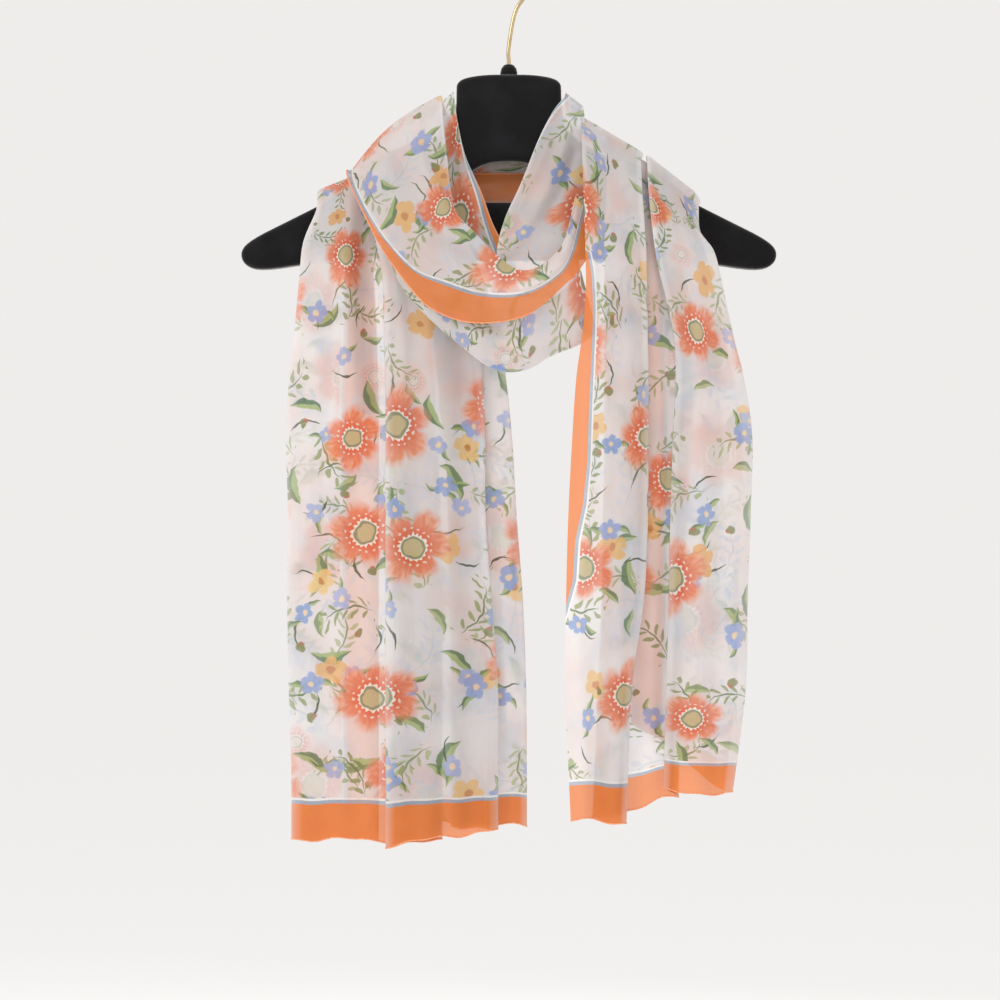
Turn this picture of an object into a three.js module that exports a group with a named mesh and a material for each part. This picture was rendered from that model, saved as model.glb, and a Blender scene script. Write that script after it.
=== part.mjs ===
// A long chiffon scarf wound once round the neck of a flocked display hanger.
// Millimetres, +Z up, -Y is the front. The origin is the inner top of the hook, where it hangs.
import * as THREE from 'three';

// ---- driving dimensions ----
const WALL = 1.0;            // thickness of a cloth wall
const LAYER = 3.3;           // step from one folded layer of cloth to the next
const SETBACK = 1.4;         // how far a fold starts before its outermost point
const SEAM = 0.3;            // taken off each end where two stretches of the same cloth meet
const OVER_ARM = 2.8;        // layer step where a tail is pulled tight over the front of the arm
const ON_ARM = 2.6;          // the same on top of the right arm
const NECK = 2.4;            // the same on top of the left arm and behind the neck
const NECK_Y = 14.5;         // lowest layer of the inner band, just behind the board
const HOOK = { wire: 1.6, radius: 21.6, startDeg: -48, endDeg: 212 };
const SHANK = { foot: -98.2, middle: -88, straightTop: -77, bend: [5, -50] };
const COLLAR = { bottom: -98.2, top: -90, radius: 6.5, bore: 2.0 };
const BOARD = { depth: 20, bevel: 5, halfPlate: 40, plateTop: -98.5, armTip: 205 };

// ---- colours ----
const cloth = (hex) => new THREE.MeshStandardMaterial({ color: hex, roughness: 0.7, side: THREE.DoubleSide });
const PALE_PRINT = 0xe9dfdc;
const SHADED_PRINT = 0xd8c8c2;
const ORANGE_PRINT = 0xe9a274;
const BRASS = new THREE.MeshStandardMaterial({ color: 0xc0a878, roughness: 0.3, metalness: 0.9 });
const FLOCK = new THREE.MeshStandardMaterial({ color: 0x151515, roughness: 0.95 });

const scarf = new THREE.Group();

function add(name, geometry, material) {
  const mesh = new THREE.Mesh(geometry, material);
  mesh.name = name;
  scarf.add(mesh);
}

// ---- cloth: a pleated section swept along the strip ----
const v = (x, y, z) => new THREE.Vector3(x, y, z);

// One section across the cloth. `rails` are the fold lines, `depths` the layer of each panel between
// two rails, counted along `out`; a fold that turns back gets a round tip.
function section(rails, depths, out, step = LAYER) {
  const points = [];
  const along = rails.slice(1).map((rail, j) => rail.clone().sub(rails[j]).normalize());
  const raised = (point, depth) => point.clone().addScaledVector(out, depth * step);
  for (let j = 0; j < depths.length; j++) {
    const start = rails[j].clone().addScaledVector(along[j], j > 0 ? SETBACK : 0);
    const end = rails[j + 1].clone().addScaledVector(along[j], j < depths.length - 1 ? -SETBACK : 0);
    points.push(raised(start, depths[j]));
    points.push(raised(start.clone().lerp(end, 0.5), depths[j]));
    points.push(raised(end, depths[j]));
    if (j < depths.length - 1) {
      const middle = (depths[j] + depths[j + 1]) / 2;
      const reach = Math.abs(depths[j + 1] - depths[j]) * step / 2;
      const turn = along[j].clone().sub(along[j + 1]).multiplyScalar(reach / 2);
      points.push(raised(rails[j + 1], middle).add(turn));
    }
  }
  return points;
}

// Smooth the sections along the strip and return `rows` rows between rows `from` and `to`.
function sweep(sections, from, to, rows, gapAtStart = 0, gapAtEnd = 0) {
  const last = sections.length - 1;
  const curves = sections[0].map((_, k) => new THREE.CatmullRomCurve3(
    sections.map((points) => points[k]), false, 'catmullrom', 0.5));
  const grid = [];
  for (let i = 0; i < rows; i++) {
    const at = from + (to - from) * i / (rows - 1);
    grid.push(curves.map((curve) => curve.getPoint(at / last)));
  }
  trim(grid[0], grid[1], gapAtStart);
  trim(grid[rows - 1], grid[rows - 2], gapAtEnd);
  return grid;
}

function trim(row, next, gap) {
  row.forEach((point, k) => point.addScaledVector(next[k].clone().sub(point).normalize(), gap));
}

// A closed wall of thickness WALL on a grid of points.
function wall(grid) {
  const rows = grid.length;
  const columns = grid[0].length;
  const at = (i, j) => grid[Math.min(Math.max(i, 0), rows - 1)][Math.min(Math.max(j, 0), columns - 1)];
  const position = [];
  for (const side of [0.5, -0.5]) {
    for (let i = 0; i < rows; i++) {
      for (let j = 0; j < columns; j++) {
        const down = at(i + 1, j).clone().sub(at(i - 1, j));
        const before = at(i, j).clone().sub(at(i, j - 1)).normalize();
        const after = at(i, j + 1).clone().sub(at(i, j)).normalize();
        const normal = before.add(after).cross(down).normalize();
        position.push(...at(i, j).clone().addScaledVector(normal, side * WALL).toArray());
      }
    }
  }
  const index = [];
  const id = (side, i, j) => side * rows * columns + i * columns + j;
  const quad = (a, b, c, d) => index.push(a, b, c, a, c, d);
  for (let i = 0; i < rows - 1; i++) {
    for (let j = 0; j < columns - 1; j++) {
      quad(id(0, i, j), id(0, i + 1, j), id(0, i + 1, j + 1), id(0, i, j + 1));
      quad(id(1, i, j), id(1, i, j + 1), id(1, i + 1, j + 1), id(1, i + 1, j));
    }
    quad(id(0, i, 0), id(1, i, 0), id(1, i + 1, 0), id(0, i + 1, 0));
    quad(id(0, i, columns - 1), id(0, i + 1, columns - 1), id(1, i + 1, columns - 1), id(1, i, columns - 1));
  }
  for (let j = 0; j < columns - 1; j++) {
    quad(id(0, 0, j), id(0, 0, j + 1), id(1, 0, j + 1), id(1, 0, j));
    quad(id(0, rows - 1, j), id(1, rows - 1, j), id(1, rows - 1, j + 1), id(0, rows - 1, j + 1));
  }
  const geometry = new THREE.BufferGeometry();
  geometry.setAttribute('position', new THREE.Float32BufferAttribute(position, 3));
  geometry.setIndex(facesOut(geometry, index));
  return geometry;
}

// Turn the faces round if the wall came out inside out.
function facesOut(geometry, index) {
  const position = geometry.getAttribute('position');
  const corner = (k) => v(0, 0, 0).fromBufferAttribute(position, index[k]);
  let volume = 0;
  for (let k = 0; k < index.length; k += 3) {
    volume += corner(k).dot(corner(k + 1).cross(corner(k + 2)));
  }
  return volume > 0 ? index : index.slice().reverse();
}

const FRONT = v(0, -1, 0);
const FRONT_TOP = v(0, -0.8, 0.6);
const UP = v(0, 0, 1);
const BACK_TOP = v(0, 0.8, 0.6);
const BACK = v(0, 1, 0);

// Height of a crest line at a distance from the middle.
function onLine(line, x) {
  const next = Math.max(1, line.findIndex(([at]) => at >= x));
  const [[x0, z0], [x1, z1]] = [line[next - 1], line[next]];
  return z0 + (z1 - z0) * (x - x0) / (x1 - x0);
}

// ---- left tail and inner neck layer ----
// x of each fold line, from the hidden long edge to the other; y is the depth of the lowest layer
const LEFT_LAYERS = [0, 1, 2, 3, 2, 1, 0];
const LEFT_TAIL = [
  // z,   y,  hidden, outer, behind, pleat left, pleat right, tuck, right, free edge
  [-625, -22, -99, -163, -52, -91.5, -9.8, -42, 12, -82],
  [-565, -22, -99, -165, -52, -91.5, -9.8, -42, 11.5, -82],
  [-498, -22, -99, -166, -52, -91.5, -14.5, -43, 9, -82],
  [-438, -21, -99, -165.5, -53, -91.5, -19, -44, 4.5, -82],
  [-378, -20, -99, -167, -56, -91.5, -19.5, -48, 1, -80],
  [-333, -19, -100, -165, -60, -92, -21, -52, -3.5, -78],
  [-295, -19, -101, -161, -66, -93, -26, -57, -9, -78],
  [-258, -18, -103, -157.5, -72, -94, -37, -63, -20, -78],
  [-228, -17, -106, -154.5, -78, -99, -46, -69, -32, -80],
];
const LEFT_HEM = [-680, -684, -676, -684, -670, -668, -671, -665];
const LEFT_CREST = [-118, -145, -88, -111, -67, -80, -56, -76];
const LEFT_CREST_LINE = [[50, -142.6], [58, -147.6], [90, -166], [118, -178], [145, -188]];
const LEFT_TURN = { x: -38, narrowing: 0.55, y: 15.5, lift: 14, fall: -200 };
const INNER_BAND = [-172, -194, -152, -178, -128, -146, -119, -140];

const heightRow = (row) => row.slice(2).map((x) => v(x, row[1], row[0]));

function leftSections() {
  const rows = LEFT_TAIL.map((row) => section(heightRow(row), LEFT_LAYERS, FRONT));
  const [, hemY, ...hemX] = LEFT_TAIL[0];
  const hem = hemX.map((x, j) => v(x, hemY, LEFT_HEM[j]));
  const crestAt = (x, y, drop) => v(x, y, onLine(LEFT_CREST_LINE, -x) - drop);
  const crest = (y, drop, widen = 1) => LEFT_CREST.map((x) => crestAt(x * widen, y, drop));
  const { x: turnX, narrowing, y: turnY, lift, fall } = LEFT_TURN;
  const turn = LEFT_CREST.map((x, j) => v(turnX + (x - turnX) * narrowing, turnY, (INNER_BAND[j] + fall) / 2 + lift));
  const band = (x) => INNER_BAND.map((z) => v(x, NECK_Y, z));
  return [
    section(hem, LEFT_LAYERS, FRONT),
    ...rows,
    section(crest(-14.5, 15), LEFT_LAYERS, FRONT_TOP, OVER_ARM),
    section(crest(0, 0), LEFT_LAYERS, UP, NECK),
    section(crest(14, 8, 0.97), LEFT_LAYERS, BACK_TOP, NECK),
    section(turn, LEFT_LAYERS, BACK, NECK),
    section(band(-40), LEFT_LAYERS, BACK, NECK),
    section(band(0), LEFT_LAYERS, BACK, NECK),
    section(band(38), LEFT_LAYERS, BACK, NECK),
  ];
}

// ---- right tail, coming over the right arm from the outer neck layer ----
const RIGHT_TAIL = [
  // z,   y,  free edge, front fold, behind, pleat root, pleat edge, outer fold, hidden edge
  [-565, -48, 42, 90, 68, 127, 119, 172, 92],
  [-498, -48, 42.5, 99, 71, 129, 121, 173.5, 92],
  [-438, -48, 44, 102, 72, 131, 122, 175.5, 92],
  [-378, -48, 47, 102.5, 73, 134, 124, 177, 92],
  [-333, -48, 50, 102.5, 73, 137, 126, 171, 93],
  [-303, -48, 54, 102, 73, 137, 125, 163.5, 94],
  [-273, -48, 57, 101.5, 73, 134, 119, 157, 96],
  [-238, -46, 57, 101, 73, 125, 111, 149, 98],
];
const RIGHT_PLEATED = [3, 2, 1, 2, 3, 0];
const RIGHT_HEM_X = [46, 86, 64, 125, 117, 163, 92];
const RIGHT_HEM = [-663, -662, -655, -645, -640, -646, -588];
const HEM_BEHIND_OUTER_FOLD = -592;
const RIGHT_CREST = [55, 99, 75, 119, 106, 141, 110];
const RIGHT_CREST_LINE = [[50, -134], [55, -137], [76, -150], [99, -163], [119, -176], [141, -194.8], [150, -200.4]];
const OUTER_BAND = { top: -117, bottom: -206, y: 31, half: 42, swell: 5, ridge: 2.2, ridges: 3 };
const RIGHT_SPAN = { inner: 57, width: 86 };   // x over the right arm, from the neck outwards
// how far each section behind a shoulder has turned towards the band, with its y and its drop
const TURN_START = { y: 22, drop: 3 };
const TURN_LATE = { mix: 0.6, y: 31, drop: 12 };

// The outer neck layer lies flat as one gathered band; t runs from its top edge to its bottom edge.
function bandPoint(x, t) {
  const { top, bottom, y, half, swell, ridge, ridges } = OUTER_BAND;
  const bulge = swell * Math.cos(x / half * Math.PI / 2);
  return v(x, y + bulge + ridge * Math.sin(2 * Math.PI * ridges * t), top + (bottom - top) * t);
}

function bandSection(x, count) {
  return Array.from({ length: count }, (_, k) => bandPoint(x, k / (count - 1)));
}

function rightSections() {
  const rows = RIGHT_TAIL.map((row) => section(heightRow(row), RIGHT_PLEATED, FRONT));
  const hem = section(RIGHT_HEM_X.map((x, j) => v(x, RIGHT_TAIL[0][1], RIGHT_HEM[j])), RIGHT_PLEATED, FRONT);
  const behind = hem.length - 3;
  hem[behind].z = HEM_BEHIND_OUTER_FOLD;
  const crestAt = (x, y, drop) => v(x, y, onLine(RIGHT_CREST_LINE, x) - drop);
  const crest = (y, drop) => RIGHT_CREST.map((x) => crestAt(x, y, drop));
  const crestTop = section(crest(0, 0), RIGHT_PLEATED, UP, ON_ARM);
  const count = crestTop.length;
  const toBand = (t, mix, y, drop) => {
    const x = RIGHT_SPAN.inner + RIGHT_SPAN.width * t;
    return v(x, y, onLine(RIGHT_CREST_LINE, x) - drop).lerp(bandPoint(OUTER_BAND.half, t), mix);
  };
  const turn = (mix, { y, drop }) => Array.from({ length: count }, (_, k) => toBand(k / (count - 1), mix, y, drop));
  return [
    hem,
    ...rows,
    section(crest(-30, 26), RIGHT_PLEATED, FRONT_TOP, OVER_ARM),
    section(crest(-13, 6), RIGHT_PLEATED, FRONT_TOP, ON_ARM),
    crestTop,
    turn(0.15, TURN_START),
    turn(TURN_LATE.mix, TURN_LATE),
    bandSection(OUTER_BAND.half, count),
    bandSection(0, count),
  ];
}

// ---- front layer of the cowl, over the left shoulder to the back ----
// ridge = the fold along its top, stripe = the printed line above the border, edge = the orange long edge
const COWL_FLAP = [
  // ridge x, y, z,      stripe x, y, z,     edge x, y, z
  [50, -34, -194, 56, -36, -202, 68, -37, -224],
  [41, -48, -229, 46, -50, -241, 56, -50, -246],
  [25, -58, -247, 33, -61, -258, 41, -61, -263],
  [8, -62, -251.5, 10, -67, -269.5, 13, -68, -285.5],
  [-10, -58, -239, -20, -66, -269.5, -27, -67, -291],
  [-27, -50, -221, -49, -60, -260.5, -58, -60, -280],
  [-40, -42, -206, -71, -52, -251, -78, -52, -259],
  [-44.5, -34, -186, -91, -44, -230, -96.5, -43, -232],
  [-47, -27, -165, -104, -37, -211, -107, -36, -211.5],
  [-49.5, -22, -148, -113, -33, -194, -116, -31.5, -193],
  [-51, -16, -134, -119, -20, -180, -122, -19, -180],
  [-52, -1, -123, -119, -2, -172, -123, -2, -173],
];
const FLAP_MIDS = [0.2, 0.42, 0.62, 0.82];
const FLAP_SWELL = 7;
const FLAP_FULL = 60;        // distance from fold to stripe at which the swell is whole
const FLAP_TURN = { behind: 3.2, x: -2, z: -9, rise: 4 };   // the cloth turned in behind the fold

function flapRow([rx, ry, rz, sx, sy, sz, ex, ey, ez], i) {
  const ridge = v(rx, ry, rz);
  const stripe = v(sx, sy, sz);
  const crown = i / (COWL_FLAP.length - 1);
  const out = v(0, -1, 0).lerp(v(-0.5, 0, 0.86), Math.max(0, crown * 2 - 1)).normalize();
  const swell = FLAP_SWELL * Math.min(1, ridge.distanceTo(stripe) / FLAP_FULL);
  const { behind, x, z, rise } = FLAP_TURN;
  const inside = ridge.clone().addScaledVector(out, -behind).add(v(x, 0, z + rise * crown));
  const mids = FLAP_MIDS.map((t) => ridge.clone().lerp(stripe, t)
    .addScaledVector(out, swell * Math.sin(Math.PI * t)));
  return [inside, ridge, ...mids, stripe, v(ex, ey, ez)];
}

function flapSections() {
  const rows = COWL_FLAP.map(flapRow);
  const crown = rows[rows.length - 1];
  const count = crown.length;
  const back = (mix, { y, drop }) => crown.map((point, k) => {
    const lowered = point.clone().add(v(0, y - point.y, -drop));
    return lowered.lerp(bandPoint(-OUTER_BAND.half, k / (count - 1)), mix);
  });
  return [...rows, back(0.1, TURN_START), back(TURN_LATE.mix, TURN_LATE),
    bandSection(-OUTER_BAND.half, count), bandSection(-SEAM, count)];
}

// ---- right arm of the cowl, from behind the neck down to the V ----
const COWL_RIGHT = [
  // inner edge x, y, z,  outer side x, y, z
  [42.5, 15.5, -121, 50, 15.5, -146],
  [43.1, 0, -112, 54, 0, -139],
  [42, -9, -116, 53, -11, -141],
  [33, -11.4, -128, 54, -17, -150],
  [22, -14, -150, 57, -21, -168],
  [9, -20, -183, 55, -25, -189],
  [-3, -29, -210, 45, -28, -206],
  [-9, -40, -236, 28, -45, -232],
  [-6, -47, -262, 20, -49, -258],
];

// ---- inner fold on the left of the neck ----
const NECK_LEFT = [
  // outer side x, y, z,  inner edge x, y, z
  [-49, -11.5, -128, -42, -10, -113],
  [-48, -11.6, -150, -39, -11.4, -135],
  [-44, -12.5, -178, -33, -11.4, -161],
  [-36, -20, -205, -21, -20, -189],
  [-26, -25, -232, -12, -25, -214],
  [-16, -31, -250, -2, -31, -233],
];

function simpleSections(table, swell, count) {
  return table.map(([ax, ay, az, bx, by, bz]) => Array.from({ length: count }, (_, k) => {
    const t = k / (count - 1);
    return v(ax, ay, az).lerp(v(bx, by, bz), t).add(v(0, -swell * Math.sin(Math.PI * t), 0));
  }));
}

// ---- lower layer of the cowl, below the border, with its fold at the bottom ----
const COWL_UNDER = [
  // top x, y, z,  bottom fold x, y, z
  [-78, -38.5, -228, -92, -39, -237],
  [-62, -45, -242, -80, -47, -264],
  [-44, -52, -256, -62, -54, -285],
  [-26, -55.5, -266, -38, -56, -306],
  [-8, -58, -270, -12, -58, -325],
  [10, -58, -268, 12, -57, -326],
  [26, -54, -258, 32, -54, -315],
  [40, -50, -244, 54, -51, -306],
  [50, -45.4, -236, 66, -46, -297],
];

const UNDER = { swell: 3, fold: 3, behind: 6 };   // bulge in front, depth of the fold, layer behind

function underSections() {
  return COWL_UNDER.map(([tx, ty, tz, bx, by, bz]) => {
    const top = v(tx, ty, tz);
    const bottom = v(bx, by, bz);
    const inner = v(0, UNDER.behind, 0);
    const front = [0, 0.33, 0.67, 0.93].map((t) => top.clone().lerp(bottom, t)
      .add(v(0, -UNDER.swell * Math.sin(Math.PI * t), 0)));
    const back = [0.93, 0.6, 0.3].map((t) => top.clone().lerp(bottom, t).add(inner));
    return [...front, bottom.clone().add(v(0, UNDER.fold, 0)), ...back];
  });
}

// ---- build the cloth ----
const CREST_ROW = LEFT_TAIL.length + 1;
const left = leftSections();
const leftEnd = left.length - 1;
add('tail_left', wall(sweep(left, 0, CREST_ROW, 15, 0, SEAM)), cloth(PALE_PRINT));
add('shoulder_left', wall(sweep(left, CREST_ROW, leftEnd - 2, 10, SEAM, 2 * SEAM)), cloth(SHADED_PRINT));
add('neck_back_inner', wall(sweep(left, leftEnd - 2, leftEnd, 5, SEAM)), cloth(ORANGE_PRINT));

const right = rightSections();
const rightEnd = right.length - 1;
add('tail_right', wall(sweep(right, 0, RIGHT_TAIL.length + 1, 15, 0, SEAM)), cloth(PALE_PRINT));
add('shoulder_right', wall(sweep(right, RIGHT_TAIL.length + 1, rightEnd - 1, 11, SEAM, SEAM)), cloth(SHADED_PRINT));
add('neck_back_right', wall(sweep(right, rightEnd - 1, rightEnd, 4, SEAM)), cloth(PALE_PRINT));

const flap = flapSections();
const flapEnd = flap.length - 1;
add('cowl_flap', wall(sweep(flap, 0, COWL_FLAP.length - 1, 23, 0, SEAM)), cloth(PALE_PRINT));
add('shoulder_cowl', wall(sweep(flap, COWL_FLAP.length - 1, flapEnd - 1, 7, SEAM, SEAM)), cloth(SHADED_PRINT));
add('neck_back_left', wall(sweep(flap, flapEnd - 1, flapEnd, 4, SEAM)), cloth(PALE_PRINT));

const arm = simpleSections(COWL_RIGHT, 3, 6);
add('cowl_right', wall(sweep(arm, 0, arm.length - 1, 13)), cloth(SHADED_PRINT));
const inner = simpleSections(NECK_LEFT, 1, 5);
add('neck_left_inner', wall(sweep(inner, 0, inner.length - 1, 11)), cloth(ORANGE_PRINT));
const under = underSections();
add('cowl_under', wall(sweep(under, 0, under.length - 1, 17)), cloth(SHADED_PRINT));

// ---- hanger ----
function boardShape() {
  const { halfPlate, plateTop, armTip } = BOARD;
  const rightSide = [[halfPlate, -128], [48, -147], [80, -164], [110, -180], [140, -196], [170, -211],
    [armTip - 9, -224], [armTip, -234], [armTip - 5, -245], [armTip - 17, -248], [150, -242], [100, -237]];
  const shape = new THREE.Shape();
  shape.moveTo(-18, plateTop);
  shape.lineTo(18, plateTop);
  shape.lineTo(34, plateTop - 3);
  shape.quadraticCurveTo(halfPlate, plateTop - 5, halfPlate, plateTop - 11);
  rightSide.forEach(([x, z]) => shape.lineTo(x, z));
  shape.lineTo(0, -240);
  rightSide.slice().reverse().forEach(([x, z]) => shape.lineTo(-x, z));
  shape.lineTo(-halfPlate, plateTop - 11);
  shape.quadraticCurveTo(-halfPlate, plateTop - 5, -34, plateTop - 3);
  shape.closePath();
  return shape;
}

function neckWindow() {
  const path = new THREE.Path();
  path.moveTo(-30, -196);
  path.lineTo(30, -196);
  path.lineTo(32, -174);
  path.quadraticCurveTo(0, -154, -32, -174);
  path.closePath();
  return path;
}

function boardGeometry() {
  const { depth, bevel } = BOARD;
  const shape = boardShape();
  shape.holes.push(neckWindow());
  const geometry = new THREE.ExtrudeGeometry(shape, {
    depth: depth - 2 * bevel, bevelThickness: bevel, bevelSize: bevel, bevelOffset: -bevel,
    bevelSegments: 3, curveSegments: 8, steps: 1,
  });
  geometry.translate(0, 0, -depth / 2 + bevel);
  geometry.rotateX(Math.PI / 2);
  return geometry;
}

function hookGeometry() {
  const { radius, wire, startDeg, endDeg } = HOOK;
  const arcPoint = (deg) => {
    const angle = deg * Math.PI / 180;
    return v(radius * Math.cos(angle), 0, -radius + wire + radius * Math.sin(angle));
  };
  const points = [v(0, 0, SHANK.foot), v(0, 0, SHANK.middle), v(0, 0, SHANK.straightTop),
    v(SHANK.bend[0], 0, SHANK.bend[1])];
  const turns = 11;
  for (let i = 0; i <= turns; i++) {
    points.push(arcPoint(startDeg + (endDeg - startDeg) * i / turns));
  }
  const profile = new THREE.Shape();
  profile.absarc(0, 0, wire, 0, 2 * Math.PI);
  return new THREE.ExtrudeGeometry(profile, {
    steps: 56, curveSegments: 5, bevelEnabled: false, extrudePath: new THREE.CatmullRomCurve3(points),
  });
}

function collarGeometry() {
  const { bottom, top, radius, bore } = COLLAR;
  const dome = [[bore, bottom], [radius, bottom], [radius, bottom + 2], [radius * 0.88, bottom + 5],
    [radius * 0.6, top - 0.8], [bore, top], [bore, bottom]];
  const geometry = new THREE.LatheGeometry(dome.map(([r, z]) => new THREE.Vector2(r, z)), 24);
  geometry.rotateX(Math.PI / 2);
  return geometry;
}

add('hanger_board', boardGeometry(), FLOCK);
add('hook_collar', collarGeometry(), FLOCK);
add('hook', hookGeometry(), BRASS);

export default scarf;
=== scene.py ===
"""A long printed chiffon scarf wound once round the neck of a flocked display hanger.

The scarf is one panel with rolled hems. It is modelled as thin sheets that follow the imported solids,
with their folds, and printed with a garden design laid out in millimetres on the cloth itself.
"""

from __future__ import annotations

import logging
import math
from collections.abc import Callable, Sequence
from dataclasses import dataclass, field
from enum import Enum
from typing import Any

import bmesh
import bpy
import mathutils
import numpy as np
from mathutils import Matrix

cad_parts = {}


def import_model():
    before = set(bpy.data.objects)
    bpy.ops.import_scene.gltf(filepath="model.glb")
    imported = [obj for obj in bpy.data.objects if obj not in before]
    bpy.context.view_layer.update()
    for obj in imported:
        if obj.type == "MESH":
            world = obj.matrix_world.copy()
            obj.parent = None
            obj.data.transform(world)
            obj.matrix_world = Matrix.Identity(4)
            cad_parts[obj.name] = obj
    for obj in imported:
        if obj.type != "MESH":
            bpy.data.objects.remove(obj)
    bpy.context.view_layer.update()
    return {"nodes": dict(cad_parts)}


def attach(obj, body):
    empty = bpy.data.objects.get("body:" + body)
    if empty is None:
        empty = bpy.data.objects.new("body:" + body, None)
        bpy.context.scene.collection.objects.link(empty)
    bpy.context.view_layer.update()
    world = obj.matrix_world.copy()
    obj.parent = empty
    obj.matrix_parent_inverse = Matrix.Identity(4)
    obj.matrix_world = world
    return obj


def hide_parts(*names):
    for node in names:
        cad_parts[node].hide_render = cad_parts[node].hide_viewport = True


LOG = logging.getLogger("scarf")
MM = 0.001  # metres in a millimetre

Grid = np.ndarray  # rows x columns x 3, in millimetres


# ---------------------------------------------------------------- colours and nodes


def linear(hex_colour: str) -> tuple[float, float, float, float]:
    """Turn an sRGB hex colour into linear RGBA.

    Args:
        hex_colour: Six hex digits, with or without a leading #.

    Returns:
        The colour as linear red, green, blue and an alpha of 1.
    """
    digits = hex_colour.lstrip("#")
    parts = [int(digits[i : i + 2], 16) / 255 for i in (0, 2, 4)]
    red, green, blue = (c / 12.92 if c <= 0.04045 else ((c + 0.055) / 1.055) ** 2.4 for c in parts)
    return (red, green, blue, 1.0)


def add(tree: bpy.types.NodeTree, kind: str, inputs: Any = (), **settings: Any) -> bpy.types.Node:
    """Add one node, with its settings, values and links.

    Args:
        tree: The tree that gets the node.
        kind: The node's type name.
        inputs: Values by position or by key; a node stands for its first output that is on.
        **settings: Properties set before the inputs.

    Returns:
        The new node.
    """
    node = tree.nodes.new(kind)
    for name, value in settings.items():
        setattr(node, name, value)
    pairs = inputs.items() if isinstance(inputs, dict) else enumerate(inputs)
    for key, value in pairs:
        if value is None:
            continue
        if isinstance(value, bpy.types.Node):
            value = next(socket for socket in value.outputs if socket.enabled)
        if isinstance(value, bpy.types.NodeSocket):
            tree.links.new(value, node.inputs[key])
        else:
            node.inputs[key].default_value = value
    return node


# ---------------------------------------------------------------- the print


class Motif(Enum):
    """The kinds of figure in the print."""

    BLOOM = "large open flower with a ringed centre"
    STAR = "small flower with five round petals"
    LEAF = "single leaf with a pale midrib"
    SPRIG = "curved stem with paired leaflets"
    TWIG = "short bare curved stem"
    BUD = "small bud"


@dataclass(frozen=True)
class Scatter:
    """One scattering of a motif over the cloth.

    Attributes:
        motif: What is drawn in each cell.
        pitch: Spacing of the cells, in mm.
        size: Radius or half length of the motif, in mm.
        share: The share of the cells that hold one.
        colours: Two hex colours that the copies vary between.
        accent: Hex colour of the centre or midrib.
        shift: Offset of the cells, in mm, so that no two scatterings agree.
        strength: How strongly it is printed, from 0 to 1.
        beside: How far along its own axis it stands from the middle of its cell, in mm.
        aside: How far across it.
    """

    motif: Motif
    pitch: float
    size: float
    share: float
    colours: tuple[str, str]
    accent: str
    shift: tuple[float, float]
    strength: float = 1.0
    beside: float = 0.0
    aside: float = 0.0


PRINT_LAYERS: tuple[Scatter, ...] = (
    Scatter(Motif.SPRIG, 62, 26, 0.75, ("#ccd6e2", "#d8d9e4"), "#c3cedb", (11, 47), 0.6),
    Scatter(Motif.BLOOM, 88, 17, 0.45, ("#f7d9cf", "#f5dfd8"), "#ece3cf", (47, 23), 0.4),
    Scatter(Motif.SPRIG, 49, 19, 0.6, ("#a3ad7c", "#b8c094"), "#8a9663", (5, 3), 0.9),
    Scatter(Motif.LEAF, 55, 11, 0.6, ("#67895a", "#83985c"), "#b9c48a", (23, 71), 0.92),
    Scatter(Motif.SPRIG, 60, 22, 0.62, ("#889a64", "#a0a76c"), "#66804e", (83, 29), 0.92),
    Scatter(Motif.LEAF, 66, 15, 0.6, ("#4d7450", "#6c8a56"), "#adbf7c", (67, 13), 0.94),
    Scatter(Motif.TWIG, 50, 13, 0.7, ("#43533d", "#6a5f42"), "#43533d", (31, 59), 0.95),
    Scatter(Motif.TWIG, 98, 17, 0.9, ("#5f7048", "#6f7a4c"), "#5f7048", (0, 0), 0.95, 27, 9),
    Scatter(Motif.LEAF, 98, 12, 0.9, ("#5b7f50", "#7f9458"), "#b5c285", (0, 0), 0.94, -29, 6),
    Scatter(Motif.STAR, 92, 12, 0.7, ("#f5cf86", "#efb062"), "#d6852f", (19, 90), 0.88),
    Scatter(Motif.LEAF, 62, 6.5, 0.62, ("#5b7f50", "#7f9458"), "#b5c285", (41, 17), 0.95, 9, 2),
    Scatter(Motif.STAR, 62, 7.5, 0.62, ("#a3b6df", "#b5bbe2"), "#f7dcb4", (41, 17), 0.93),
    Scatter(Motif.LEAF, 72, 8, 0.78, ("#4f7648", "#6f8c52"), "#a7ba76", (7, 53), 0.95, 11, 3),
    Scatter(Motif.LEAF, 72, 7, 0.78, ("#5b7f50", "#7f9458"), "#b5c285", (7, 53), 0.95, -10, -4),
    Scatter(Motif.STAR, 72, 9, 0.78, ("#8ea9da", "#a4b1de"), "#f6d8ae", (7, 53), 0.95),
    Scatter(Motif.BUD, 57, 3.8, 0.6, ("#7c8450", "#8d8a4c"), "#c65f3e", (61, 37), 0.92),
    Scatter(Motif.BLOOM, 98, 29, 0.9, ("#f1824f", "#f0936c"), "#cdbd8c", (0, 0), 0.97),
)


@dataclass(frozen=True)
class Border:
    """The printed border along the four sides of the panel, in mm from the edge."""

    band: float = 25.0
    stripe: float = 2.6
    line: float = 1.6
    band_colour: str = "#f18a42"
    stripe_colour: str = "#a9b6c6"
    line_colour: str = "#fbf8f4"


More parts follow.
